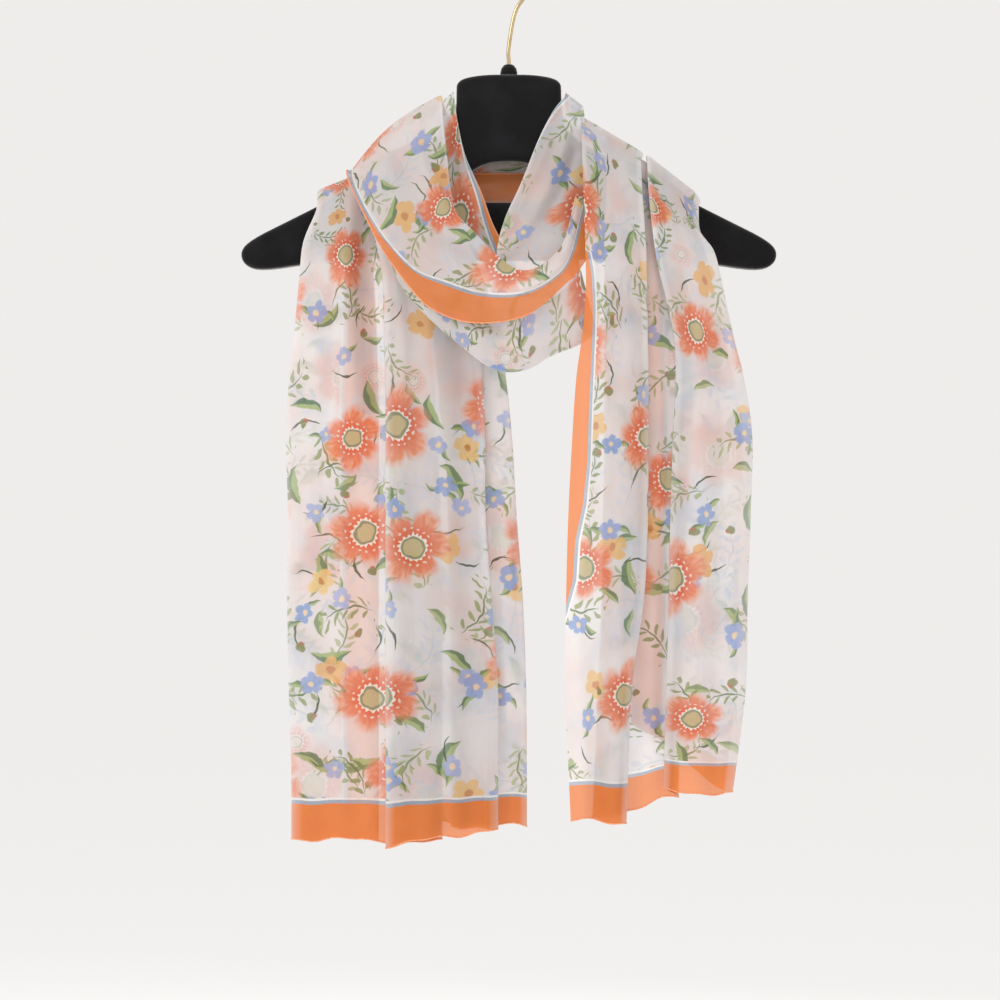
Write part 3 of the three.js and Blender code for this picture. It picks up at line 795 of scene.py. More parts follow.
def drape(grid: Grid, creases: Sequence[Crease], calm: np.ndarray | float = 1.0, rough: float = 1.0) -> Grid:
    """Push creases and a slight unevenness into a sheet.

    Args:
        grid: The sheet.
        creases: Its creases.
        calm: How much of the creases each point takes, from 0 to 1.
        rough: How much of the general unevenness it takes.

    Returns:
        The draped sheet.
    """
    x, y, z = grid[..., 0], grid[..., 1], grid[..., 2]
    side = np.clip((y - 2.0) / 14.0, 0, 1)
    front = -rough * crinkle(x, z)
    back = rough * crinkle(x + 70.0, z)
    for crease in creases:
        if crease.back:
            back = back + DEEPEN * crease.lift(x, z)
        else:
            front = front - DEEPEN * crease.lift(x, z)
    moved = grid.copy()
    moved[..., 1] += calm * (np.minimum(front, DEEPEST) * (1 - side) + back * side)
    return moved


def flutter(grid: Grid) -> Grid:
    """Let the free end of a tail wave and dip a little, the same for all layers at one place."""
    below = arc_across(grid[:, 0])[:, None]
    x = grid[0, :, 0][None, :]
    moved = grid.copy()
    near, far = np.exp(-below / 30.0), np.exp(-below / 90.0)
    moved[..., 2] += near * (1.5 * np.sin(0.105 * x + 1.9) + 0.9 * np.sin(0.23 * x + 0.6))
    moved[..., 1] += far * (2.4 * np.sin(0.12 * x + 0.7) + 1.3 * np.sin(0.27 * x + 2.2))
    return moved


def arc_across(row: np.ndarray) -> np.ndarray:
    """Return the distance along a row of points, from its first."""
    steps = np.linalg.norm(np.diff(row, axis=0), axis=1)
    return np.concatenate(([0.0], np.cumsum(steps)))


FAR = 400.0  # a distance from an edge that is out of the border's reach


NECK_ALONG = 1700.0  # place along the cloth of the middle of the neck's back, in mm
STRIPE_AT = 27.2  # distance of the printed stripe from the edge, in mm
STRIPE_SHARE = 6 / 7  # where the stripe lies across the loop and the band behind the neck


def distance_from_edge(across: np.ndarray, tucked: np.ndarray | float) -> np.ndarray:
    """Work out the distance from the long edge below, for rows that show its border.

    Args:
        across: Distance across each row from its upper side, in mm.
        tucked: How much of the edge is turned under at each row, in mm.

    Returns:
        The distance from the edge, which is STRIPE_AT at the stripe's column.
    """
    stripe = STRIPE_SHARE * (across.shape[1] - 1)
    low = int(stripe)
    at_stripe = (across[:, low] + (across[:, low + 1] - across[:, low]) * (stripe - low))[:, None]
    below = across - at_stripe
    band = (STRIPE_AT - tucked) / (across[:, -1:] - at_stripe)
    return STRIPE_AT - np.where(below > 0, below * band, below)


def panel_folds(panels: int) -> np.ndarray:
    """Return 1 on the columns of each round fold of a folded section and 0 on its panels."""
    flat = [0.0] * (PANEL_POINTS - 1) + [0.5]
    tip = [0.75, 1.0, 1.0, 1.0, 0.75][: TIP_POINTS - 1]
    columns: list[float] = []
    for j in range(panels):
        columns += [0.5 if j else 0.0, *flat[1:]]
        if j < panels - 1:
            columns += tip
    columns[PANEL_POINTS * panels + (TIP_POINTS - 1) * (panels - 1) - 1] = 0.0
    return np.array(columns)


def fold_at(columns: int, *places: float) -> np.ndarray:
    """Return 1 near the given places across, counted from 0 to 1, and 0 elsewhere."""
    spread = 0.8 / columns
    across = np.linspace(0, 1, columns)
    return np.max([np.exp(-(((across - place) / spread) ** 2)) for place in places], axis=0)


@dataclass
class ClothSheet:
    """A stretch of the scarf as one thin sheet, with where it lies on the cut cloth.

    Attributes:
        name: The piece's name.
        grid: Points of the sheet, rows along the strip, in mm.
        across: Distance across the cloth at each point, in mm.
        along: Distance along the cloth at each point, in mm.
        first: Distance from the first long edge, in mm.
        second: Distance from the second long edge, in mm.
        end: Distance from the cut end, in mm.
        fold: How far each column is a fold, seen on edge, from 0 to 1. It makes the cloth denser there, as edge-on
            cloth is, and also whitens it as a painted highlight.
    """

    name: str
    grid: Grid
    across: np.ndarray
    along: np.ndarray
    first: np.ndarray
    second: np.ndarray
    end: np.ndarray
    fold: np.ndarray

    def build(self, material: bpy.types.Material) -> bpy.types.Object:
        """Make the mesh with its cloth map, and dress it."""
        rows, columns, _ = self.grid.shape
        index = np.arange(rows * columns).reshape(rows, columns)
        quads = np.stack((index[:-1, :-1], index[1:, :-1], index[1:, 1:], index[:-1, 1:]), axis=-1).reshape(-1, 4)
        mesh = bpy.data.meshes.new(self.name)
        mesh.from_pydata((self.grid.reshape(-1, 3) * MM).tolist(), [], quads.tolist())
        mesh.update()
        corners = np.zeros(len(mesh.loops), dtype=np.int32)
        mesh.loops.foreach_get("vertex_index", corners)
        flat = np.stack((self.across, self.along), axis=-1).reshape(-1, 2) * MM
        mesh.uv_layers.new(name="cloth").data.foreach_set("uv", flat[corners].ravel().astype(np.float32))
        edges = np.stack((self.first, self.second, self.end), axis=-1).reshape(-1, 3) * MM
        layer = mesh.attributes.new("edges", "FLOAT_VECTOR", "POINT")
        layer.data.foreach_set("vector", edges.ravel().astype(np.float32))
        folds = np.broadcast_to(self.fold, (rows, columns))
        mesh.attributes.new("fold", "FLOAT", "POINT").data.foreach_set("value", folds.ravel().astype(np.float32))
        mesh.polygons.foreach_set("use_smooth", [True] * len(mesh.polygons))
        mesh.materials.append(material)
        piece = bpy.data.objects.new(self.name, mesh)
        bpy.context.scene.collection.objects.link(piece)
        LOG.info("%s: %d faces", self.name, len(mesh.polygons))
        return piece


# ---------------------------------------------------------------- rolled hem


class HemTree:
    """Geometry Nodes that roll a hem along a line and sew it with slip stitches."""

    def __init__(self) -> None:
        """Build the tree with its named inputs."""
        tree = bpy.data.node_groups.new("rolled_hem", "GeometryNodeTree")
        sockets = (
            ("Line", "NodeSocketGeometry", None),
            ("Roll radius", "NodeSocketFloat", 0.55 * MM),
            ("Stitch pitch", "NodeSocketFloat", 3.2 * MM),
            ("Stitch length", "NodeSocketFloat", 1.5 * MM),
            ("Stitch radius", "NodeSocketFloat", 0.2 * MM),
            ("Roll cloth", "NodeSocketMaterial", None),
            ("Thread", "NodeSocketMaterial", None),
        )
        self.keys: dict[str, str] = {}
        for name, kind, value in sockets:
            socket = tree.interface.new_socket(name=name, in_out="INPUT", socket_type=kind)
            if value is not None:
                socket.default_value = value
            self.keys[name] = socket.identifier
        tree.interface.new_socket(name="Hem", in_out="OUTPUT", socket_type="NodeSocketGeometry")
        given = add(tree, "NodeGroupInput")
        line = add(tree, "GeometryNodeMeshToCurve", {"Mesh": given.outputs["Line"]})
        ring = add(tree, "GeometryNodeCurvePrimitiveCircle", {"Resolution": 7, "Radius": given.outputs["Roll radius"]})
        roll = add(
            tree, "GeometryNodeCurveToMesh", {"Curve": line, "Profile Curve": ring.outputs["Curve"], "Fill Caps": True}
        )
        roll = add(tree, "GeometryNodeSetMaterial", {"Geometry": roll, "Material": given.outputs["Roll cloth"]})
        roll = add(tree, "GeometryNodeSetShadeSmooth", {"Geometry": roll})
        spots = add(
            tree,
            "GeometryNodeCurveToPoints",
            {"Curve": line, "Length": given.outputs["Stitch pitch"]},
            mode="LENGTH",
        )
        bead = add(
            tree,
            "GeometryNodeMeshCylinder",
            {"Vertices": 5, "Radius": given.outputs["Stitch radius"], "Depth": given.outputs["Stitch length"]},
        )
        lean = add(tree, "FunctionNodeRotateRotation", {0: spots.outputs["Rotation"], 1: (0.0, 0.75, 0.4)})
        lean.rotation_space = "LOCAL"
        sewn = add(
            tree,
            "GeometryNodeInstanceOnPoints",
            {"Points": spots.outputs["Points"], "Instance": bead.outputs["Mesh"], "Rotation": lean},
        )
        sewn = add(tree, "GeometryNodeRealizeInstances", {"Geometry": sewn})
        sewn = add(tree, "GeometryNodeSetMaterial", {"Geometry": sewn, "Material": given.outputs["Thread"]})
        both = add(tree, "GeometryNodeJoinGeometry")
        tree.links.new(sewn.outputs[0], both.inputs[0])
        tree.links.new(roll.outputs[0], both.inputs[0])
        add(tree, "NodeGroupOutput", (both,))
        self.tree = tree

    def sew(
        self, name: str, lines: Sequence[np.ndarray], roll: bpy.types.Material, thread: bpy.types.Material
    ) -> bpy.types.Object:
        """Roll and sew a hem along lines of points.

        Args:
            name: The piece's name.
            lines: The edges of the cloth, in mm.
            roll: The rolled cloth's material.
            thread: The stitches' material.

        Returns:
            The hem as one plain mesh.
        """
        points: list[list[float]] = []
        links: list[tuple[int, int]] = []
        for line in lines:
            start = len(points)
            points.extend((line * MM).tolist())
            links.extend((start + k, start + k + 1) for k in range(len(line) - 1))
        mesh = bpy.data.meshes.new(name + "_line")
        mesh.from_pydata(points, links, [])
        carrier = bpy.data.objects.new(name + "_line", mesh)
        bpy.context.scene.collection.objects.link(carrier)
        modifier = carrier.modifiers.new("hem", "NODES")
        modifier.node_group = self.tree
        modifier[self.keys["Roll cloth"]] = roll
        modifier[self.keys["Thread"]] = thread
        bpy.context.view_layer.update()
        graph = bpy.context.evaluated_depsgraph_get()
        result = bpy.data.meshes.new_from_object(carrier.evaluated_get(graph), depsgraph=graph)
        result.name = name
        bpy.data.objects.remove(carrier)
        bpy.data.meshes.remove(mesh)
        piece = bpy.data.objects.new(name, result)
        bpy.context.scene.collection.objects.link(piece)
        LOG.info("%s: %d faces", name, len(result.polygons))
        return piece


Finishes = dict[str, bpy.types.Material]


# ---------------------------------------------------------------- the scarf's stretches

Table = tuple[tuple[float, ...], ...]


def height_row(row: Sequence[float]) -> list[np.ndarray]:
    """Turn a table row (z, y, x, x, ...) into points."""
    return [np.array((x, row[1], row[0])) for x in row[2:]]


@dataclass
class LeftTail:
    """The end that hangs on the left, pleated into seven layers, and its way over the shoulder."""

    layers: tuple[int, ...] = (0, 1, 2, 3, 2, 1, 0)
    rows: Table = (
        (-625, -22, -99, -163, -52, -91.5, -9.8, -42, 12, -82),
        (-565, -22, -99, -165, -52, -91.5, -9.8, -42, 11.5, -82),
        (-498, -22, -99, -166, -52, -91.5, -14.5, -43, 9, -82),
        (-438, -21, -99, -165.5, -53, -91.5, -19, -44, 4.5, -82),
        (-378, -20, -99, -167, -56, -91.5, -19.5, -48, 1, -80),
        (-333, -19, -100, -165, -60, -92, -21, -52, -3.5, -78),
        (-295, -19, -101, -161, -66, -93, -26, -57, -9, -78),
        (-258, -18, -103, -157.5, -72, -94, -37, -63, -20, -78),
        (-228, -17, -106, -154.5, -78, -99, -46, -69, -32, -80),
    )
    hem: tuple[float, ...] = (-680, -679, -680, -683, -671, -668, -669, -665)
    crest_x: tuple[float, ...] = (-118, -145, -88, -111, -67, -80, -56, -76)
    crest_line: Table = ((50, -142.6), (58, -147.6), (90, -166), (118, -178), (145, -188))
    band: tuple[float, ...] = (-172, -194, -152, -178, -128, -146, -119, -140)
    creases: tuple[Crease, ...] = (
        Crease(((-128, -215), (-124, -270), (-127, -360), (-131, -460)), 7, 2.6),
        Crease(((-140, -240), (-146, -330), (-150, -470), (-148, -660)), 9, 2.2),
        Crease(((-106, -190), (-107, -250), (-106, -300), (-102, -350)), 8, -7.5),
        Crease(((-119, -185), (-121, -240), (-119, -310), (-113, -400)), 3.2, 3.2),
        Crease(((-135, -690), (-134, -676)), 14, -1.0),
        Crease(((-107, -300), (-104, -430), (-106, -560), (-103, -690)), 6, 1.8),
        Crease(((-88, -230), (-80, -300), (-79, -390), (-83, -560)), 5, 1.6),
        Crease(((-60, -260), (-55, -400), (-60, -540), (-52, -690)), 13, 2.8),
        Crease(((-33, -300), (-34, -420), (-28, -540), (-30, -690)), 9, -2.4),
        Crease(((-17, -430), (-14, -560), (-15, -680)), 5, 1.4),
        Crease(((0, -420), (-2, -540), (3, -690)), 5, 1.6),
        Crease(((-135, -640), (-120, -664), (-95, -676), (-60, -664)), 8, 2.0),
        Crease(((-46, -600), (-30, -625), (-8, -640)), 5, 1.0),
        Crease(((-70, -180), (-95, -190), (-130, -205)), 6, 1.6, True),
        Crease(((-60, -160), (-90, -172), (-120, -190)), 5, -1.8, True),
    )

    def sheet(self) -> ClothSheet:
        """Lay out the stretch from its hem to the middle of the neck's back."""
        _, hem_y, *hem_x = self.rows[0]
        hem = [np.array((x, hem_y, z)) for x, z in zip(hem_x, self.hem)]
        turn = [
            np.array((-38 + (x + 38) * 0.55, 15.5, (z - 200) / 2 + 14)) for x, z in zip(self.crest_x, self.band)
        ]
        sections = [
            section(hem, self.layers, FRONT),
            *(section(height_row(row), self.layers, FRONT) for row in self.rows),
            section(self._crest(-14.5, 15), self.layers, FRONT_TOP, 2.8),
            section(self._crest(0, 0), self.layers, UP, 2.4),
            section(self._crest(14, 8, 0.97), self.layers, BACK_TOP, 2.4),
            section(turn, self.layers, BACK, 2.4),
            *(section(self._across_neck(x), self.layers, BACK, 2.4) for x in (-40, 0, 38)),
        ]
        grid, places = sweep(sections)
        calm = np.clip((len(self.rows) + 1.2 - places) / 2.0, 0.12, 1.0)[:, None]
        grid = flutter(drape(grid, self.creases, calm))
        across = arc_across(grid[len(grid) // 3])[None, :].repeat(len(grid), 0)
        middle = grid[:, grid.shape[1] // 2]
        along = arc_across(middle)[:, None].repeat(grid.shape[1], 1)
        true = np.array([arc_across(row) for row in grid])
        behind = np.clip(places - len(self.rows) - 2, 0, 1)[:, None]
        first = across * (1 - behind) + true * behind
        fold = panel_folds(len(self.layers))
        return ClothSheet("scarf_left_tail", grid, across, along, first, across[:, -1:] - across, along, fold)

    def _crest(self, y: float, drop: float, widen: float = 1.0) -> list[np.ndarray]:
        """Return the fold lines where they pass over the arm of the hanger."""
        return [np.array((x * widen, y, on_line(self.crest_line, -x * widen) - drop)) for x in self.crest_x]

    def _across_neck(self, x: float) -> list[np.ndarray]:
        """Return the fold lines behind the neck at one place."""
        return [np.array((x, 14.5, z)) for z in self.band]


@dataclass(frozen=True)
class NeckBand:
    """The outer layer behind the neck, gathered flat; t runs from its top edge to its bottom edge."""

    top: float = -117.0
    bottom: float = -206.0
    y: float = 31.0
    half: float = 42.0
    gathers: tuple[tuple[float, float, float], ...] = ((2.2, 3.0, 0.0), (1.5, 7.0, 1.1), (0.8, 12.0, 2.0))

    def point(self, x: float, t: float) -> np.ndarray:
        """Return one point of the band."""
        swell = 5 * math.cos(x / self.half * math.pi / 2)
        ridge = sum(h * math.sin(2 * math.pi * n * t + phase) for h, n, phase in self.gathers)
        return np.array((x, self.y + swell + ridge, self.top + (self.bottom - self.top) * t))

    def section(self, x: float, count: int) -> Grid:
        """Return a line of points down the band."""
        return np.array([self.point(x, k / (count - 1)) for k in range(count)])


@dataclass
class RightTail:
    """The end that comes over the right shoulder from behind and hangs in front in six layers."""

    layers: tuple[int, ...] = (3, 2, 1, 2, 3, 0)
    rows: Table = (
        (-565, -48, 42, 90, 68, 127, 119, 172, 92),
        (-498, -48, 42.5, 99, 71, 129, 121, 173.5, 92),
        (-438, -48, 44, 102, 72, 131, 122, 175.5, 92),
        (-378, -48, 47, 102.5, 73, 134, 124, 177, 92),
        (-333, -48, 50, 102.5, 73, 137, 126, 171, 93),
        (-303, -48, 54, 102, 73, 137, 125, 163.5, 94),
        (-273, -48, 57, 101.5, 73, 134, 119, 157, 96),
        (-238, -46, 57, 101, 73, 125, 111, 149, 98),
    )
    hem_x: tuple[float, ...] = (46, 86, 64, 125, 117, 163, 92)
    hem: tuple[float, ...] = (-662, -663, -661, -644, -640, -641, -588)
    hem_behind: float = -592.0
    crest_x: tuple[float, ...] = (55, 99, 75, 119, 106, 141, 110)
    crest_line: Table = (
        (50, -134),
        (55, -137),
        (76, -150),
        (99, -163),
        (119, -176),
        (141, -194.8),
        (150, -200.4),
    )
    # how much of the first long edge is turned under, as (height below the hook, mm)
    tuck: Table = (
        (200, 34),
        (222, 27),
        (250, 20),
        (280, 17),
        (329, 13),
        (394, 12),
        (426, 14),
        (453, 19),
        (483, 20),
        (505, 26),
        (530, 34),
        (680, 40),
    )
    band: NeckBand = field(default_factory=NeckBand)
    creases: tuple[Crease, ...] = (
        Crease(((63, -210), (62, -290), (60, -370), (55, -480)), 4, 2.2),
        Crease(((85, -200), (86, -300), (84, -420), (78, -640)), 8, 2.6),
        Crease(((72, -340), (70, -440), (66, -560), (62, -668)), 5, -2.0),
        Crease(((97, -320), (95, -440), (91, -560)), 4, 1.2),
        Crease(((115, -230), (121, -330), (118, -440), (114, -600)), 6, -2.6),
        Crease(((135, -225), (143, -320), (142, -440), (139, -650)), 9, 2.8),
        Crease(((158, -300), (161, -400), (158, -520), (150, -650)), 6, -1.8),
        Crease(((50, -430), (52, -540), (60, -660)), 5, 1.4),
        Crease(((95, -655), (110, -648), (130, -646), (158, -640)), 7, 1.6),
        Crease(((60, -150), (85, -172), (120, -190)), 6, 2.0, True),
        Crease(((55, -175), (80, -185), (110, -196)), 5, -2.0, True),
    )

    def sheet(self) -> ClothSheet:
        """Lay out the stretch from its hem to the middle of the neck's back."""
        hem_y = self.rows[0][1]
        hem = section([np.array((x, hem_y, z)) for x, z in zip(self.hem_x, self.hem)], self.layers, FRONT)
        crest_top = section(self._crest(0, 0), self.layers, UP, 2.6)
        count = len(crest_top)
        sections = [
            hem,
            *(section(height_row(row), self.layers, FRONT) for row in self.rows),
            section(self._crest(-30, 26), self.layers, FRONT_TOP, 2.8),
            section(self._crest(-13, 6), self.layers, FRONT_TOP, 2.6),
            crest_top,
            self._turn(0.15, 22, 3, count),
            self._turn(0.6, 31, 12, count),
            self.band.section(self.band.half, count),
            self.band.section(0, count),
        ]
        grid, places = sweep(sections)
        calm = np.clip((len(self.rows) + 1.2 - places) / 2.0, 0.12, 1.0)[:, None]
        grid = flutter(drape(grid, self.creases, calm))
        across = arc_across(grid[len(grid) // 3])[None, :].repeat(len(grid), 0)
        arc = arc_across(grid[:, grid.shape[1] // 3])
        along = (NECK_ALONG + arc[-1] - arc)[:, None].repeat(grid.shape[1], 1)
        true = np.array([arc_across(row) for row in grid])
        gathered = np.clip((places - len(self.rows) - 4.4) / 0.5, 0, 1)[:, None]
        gathered = gathered**2 * (3 - 2 * gathered)
        hidden = (across[:, -1:] - across) * (1 - gathered) + distance_from_edge(true, 0.0) * gathered
        turned = np.interp(-grid[:, 0, 2], *zip(*self.tuck))[:, None]
        turned = np.where(places[:, None] > len(self.rows), self.tuck[0][1], turned)
        free = across + turned + 100 * gathered
        fold = panel_folds(len(self.layers)) * np.clip(len(self.rows) + 4 - places, 0, 1)[:, None]
        end = arc[:, None].repeat(grid.shape[1], 1)
        return ClothSheet("scarf_right_tail", grid, hidden + 260, along, free, hidden, end, fold)

    def _crest(self, y: float, drop: float) -> list[np.ndarray]:
        """Return the fold lines where they pass over the arm of the hanger."""
        return [np.array((x, y, on_line(self.crest_line, x) - drop)) for x in self.crest_x]

    def _turn(self, mix: float, y: float, drop: float, count: int) -> Grid:
        """Return a section on the way from the shoulder to the band behind the neck."""
        points = []
        for k in range(count):
            t = k / (count - 1)
            x = 57 + 86 * t
            shoulder = np.array((x, y, on_line(self.crest_line, x) - drop))
            points.append(shoulder * (1 - mix) + self.band.point(self.band.half, t) * mix)
        return np.array(points)


@dataclass
class CowlFlap:
    """The front of the loop: a fold along its top, its orange long edge below, and over the shoulder."""

    rows: Table = (
        (50, -34, -194, 56, -36, -202, 68, -37, -224),
        (41, -48, -229, 46, -50, -241, 56, -50, -246),
        (25, -58, -247, 33, -61, -258, 41, -61, -263),
        (8, -62, -251.5, 10, -67, -269.5, 13, -68, -285.5),
        (-10, -58, -239, -20, -66, -269.5, -27, -67, -291),
        (-27, -50, -221, -49, -60, -260.5, -58, -60, -280),
        (-40, -42, -206, -71, -52, -251, -78, -52, -259),
        (-44.5, -34, -186, -91, -44, -230, -96.5, -43, -232),
        (-47, -27, -165, -104, -37, -211, -107, -36, -211.5),
        (-49.5, -22, -144, -113, -33, -194, -116, -31.5, -193),
        (-51, -16, -126, -119, -20, -179, -122, -19, -179),
        (-52, -1, -114, -119, -2, -170, -123, -2, -171),
    )
    mids: tuple[float, ...] = (0.2, 0.42, 0.62, 0.82)
    swell: float = 7.0
    columns: int = 49
    # how much of the orange edge is turned under at each row, in mm
    tuck: tuple[float, ...] = (12, 7, 3, 0, 0, 0, 0, 10, 21, 24, 25, 25, 22, 8, 0, 0)
    band: NeckBand = field(default_factory=NeckBand)
    creases: tuple[Crease, ...] = (
        Crease(((-100, -176), (-82, -206), (-58, -236), (-28, -254), (8, -262)), 7, 1.8),
        Crease(((-84, -165), (-68, -196), (-46, -226), (-20, -244)), 6, -1.8),
        Crease(((-70, -150), (-58, -182), (-44, -206)), 5, 1.8),
        Crease(((-112, -190), (-98, -216), (-80, -238)), 5, 1.3),
        Crease(((-20, -262), (-2, -268), (20, -262), (38, -250)), 4, 1.1),
        Crease(((-50, -272), (-24, -282), (4, -281)), 5, 1.2),
        Crease(((-60, -140), (-85, -152), (-110, -168)), 6, 1.8, True),
        Crease(((-50, -165), (-75, -172), (-100, -184)), 5, -1.8, True),
    )

    def sheet(self) -> ClothSheet:
        """Lay out the stretch from the right of the V to the middle of the neck's back."""
        rows = [self._row(row, i / (len(self.rows) - 1)) for i, row in enumerate(self.rows)]
        fine = finer(rows, self.columns)
        crown = fine[-1]
        sections = [
            *fine,
            self._back(crown, 0.1, 22, 3),
            self._back(crown, 0.6, 31, 12),
            self.band.section(-self.band.half, self.columns),
            self.band.section(0, self.columns),
        ]
        grid, places = sweep(sections, 3.0)
        calm = np.clip((len(self.rows) + 0.2 - places) / 2.0, 0.15, 1.0)[:, None]
        grid = drape(grid, self.creases, calm)
        across = np.array([arc_across(row) for row in grid])
        turned_in = np.interp(places, np.arange(len(self.tuck)), self.tuck)[:, None]
        from_edge = distance_from_edge(across, turned_in)
        arc = arc_across(grid[:, self.columns // 2])
        along = (NECK_ALONG + arc - arc[-1])[:, None].repeat(self.columns, 1)
        far = np.full_like(from_edge, FAR)
        fold = fold_at(self.columns, 1 / 7)
        return ClothSheet("scarf_cowl_flap", grid, from_edge + 260, along, far, from_edge, far, fold)

    def _row(self, row: Sequence[float], crown: float) -> Grid:
        """Return the points across one row, swelling a little between fold and stripe."""
        ridge, stripe, edge = (np.array(row[k : k + 3], float) for k in (0, 3, 6))
        lean = max(0.0, crown * 2 - 1)
        out = unit(np.array((0.0, -1.0, 0.0)) * (1 - lean) + np.array((-0.5, 0.0, 0.86)) * lean)
        swell = self.swell * min(1.0, float(np.linalg.norm(stripe - ridge)) / 60)
        inside = ridge - out * 3.2 + np.array((-2.0, 0.0, -9 + 4 * crown))
        middle = [ridge * (1 - t) + stripe * t + out * swell * math.sin(math.pi * t) for t in self.mids]
        return np.array([inside, ridge, *middle, stripe, edge])

    def _back(self, crown: np.ndarray, mix: float, y: float, drop: float) -> Grid:
        """Return a section on the way from the crown to the band behind the neck."""
        lowered = crown.copy()
        lowered[:, 1] = y
        lowered[:, 2] -= drop
        return lowered * (1 - mix) + self.band.section(-self.band.half, len(crown)) * mix


@dataclass
class SimpleStretch:
    """A short stretch of the loop between two side lines.

    Attributes:
        name: The piece's name.
        rows: Both side lines, row by row (x, y, z, x, y, z).
        swell: How far it bulges to the front between them, in mm.
        creases: Its creases.
        edge_start: Distance of the second side from the long edge at the first row, in mm.
        edge_end: The same at the last row.
        at: Where it lies on the cut cloth (across, along), in mm.
    """

    name: str
    rows: Table
    swell: float
    creases: tuple[Crease, ...]
    edge_start: float
    edge_end: float
    at: tuple[float, float]
    columns: int = 25

    def sheet(self) -> ClothSheet:
        """Lay out the stretch."""
        sections = []
        for row in self.rows:
            a, b = np.array(row[:3], float), np.array(row[3:], float)
            ts = np.linspace(0, 1, self.columns)[:, None]
            sections.append(a * (1 - ts) + b * ts + FRONT * self.swell * np.sin(math.pi * ts))
        grid, places = sweep(sections, 3.0)
        grid = drape(grid, self.creases, 1.0, 0.4)
        across = np.array([arc_across(row) for row in grid])
        share = (places / places[-1])[:, None]
        from_edge = across[:, -1:] - across + self.edge_start * (1 - share) + self.edge_end * share
        along = arc_across(grid[:, self.columns // 2])[:, None].repeat(self.columns, 1)
        far = np.full_like(from_edge, FAR)
        fold = fold_at(self.columns, 1.0)
        return ClothSheet(self.name, grid, from_edge + self.at[0], along + self.at[1], far, from_edge, far, fold)


COWL_RIGHT = SimpleStretch(
    "scarf_cowl_right",
    (
        (52, 15.5, -134, 42.5, 15.5, -121),
        (56, 0, -123, 43.1, 0, -112),
        (57, -11, -126, 42, -9, -116),
        (58, -17, -142, 33, -11.4, -128),
        (59, -20, -166, 22, -14, -150),
        (59, -24, -187, 9, -20, -183),
        (58, -29, -208, -3, -29, -210),
        (52, -40, -236, -9, -40, -236),
        (38, -50, -257, -6, -47, -262),
    ),
    3.0,
    (
        Crease(((47, -135), (38, -165), (22, -200), (4, -232)), 4.5, 1.5),
        Crease(((50, -160), (42, -185), (26, -212)), 4, -1.4),
        Crease(((30, -150), (18, -178), (6, -206)), 4, 1.2),
    ),
    21.0,
    36.0,
    (120.0, 300.0),
)

NECK_LEFT = SimpleStretch(
    "scarf_neck_left",
    (
        (-51, -11.5, -120, -42, -10, -112),
        (-54, -12.5, -152, -39, -11.4, -135),
        (-53, -16.5, -182, -33, -11.4, -161),
        (-44, -22, -210, -21, -20, -189),
        (-26, -25, -232, -12, -25, -214),
        (-16, -31, -250, -2, -31, -233),
    ),
    1.0,
    (Crease(((-42, -135), (-37, -170), (-24, -205), (-10, -235)), 3, 0.9),),
    33.0,
    17.0,
    (80.0, 700.0),
)


@dataclass
class CowlUnder:
    """The lower layer of the loop: it shows below the orange edge and folds back at the bottom."""

    rows: Table = (
        (-78, -38.5, -228, -92, -39, -237),
        (-62, -45, -242, -80, -47, -264),
        (-44, -52, -256, -62, -54, -285),
        (-26, -55.5, -266, -38, -56, -306),
        (-8, -58, -270, -12, -58, -325),
        (10, -58, -268, 12, -57, -326),
        (26, -54, -258, 32, -54, -315),
        (40, -50, -244, 54, -51, -306),
        (50, -45.4, -236, 66, -46, -297),
    )
    columns: int = 41
    creases: tuple[Crease, ...] = (
        Crease(((-70, -250), (-45, -280), (-15, -305), (15, -312), (45, -298)), 6, 1.3),
        Crease(((-50, -262), (-25, -290), (0, -300)), 4, -1.2),
        Crease(((20, -290), (36, -280), (52, -262)), 5, 1.2),
        Crease(((30, -312), (46, -296), (58, -275)), 4, -1.0),
    )

    def sheet(self) -> ClothSheet:
        """Lay out the stretch."""
        grid, _ = sweep(finer([self._row(row) for row in self.rows], self.columns), 3.0)
        grid = drape(grid, self.creases, 1.0, 0.4)
        across = arc_across(grid[len(grid) // 2])[None, :].repeat(len(grid), 0)
        along = arc_across(grid[:, self.columns // 2])[:, None].repeat(self.columns, 1)
        far = np.full_like(across, FAR)
        fold = fold_at(self.columns, 0.52)
        return ClothSheet("scarf_cowl_under", grid, across + 190, along + 905, far, far, far, fold)

    def _row(self, row: Sequence[float]) -> Grid:
        """Return the points down the front, round the fold and up the back."""
        top, bottom = np.array(row[:3], float), np.array(row[3:], float)
        front = [
            top * (1 - t) + bottom * t + FRONT * 3 * math.sin(math.pi * t) for t in (0.0, 0.33, 0.67, 0.93)
        ]
        back = [top * (1 - t) + bottom * t + BACK * 6 for t in (0.93, 0.6, 0.3)]
        return np.array([*front, bottom + BACK * 3, *back])


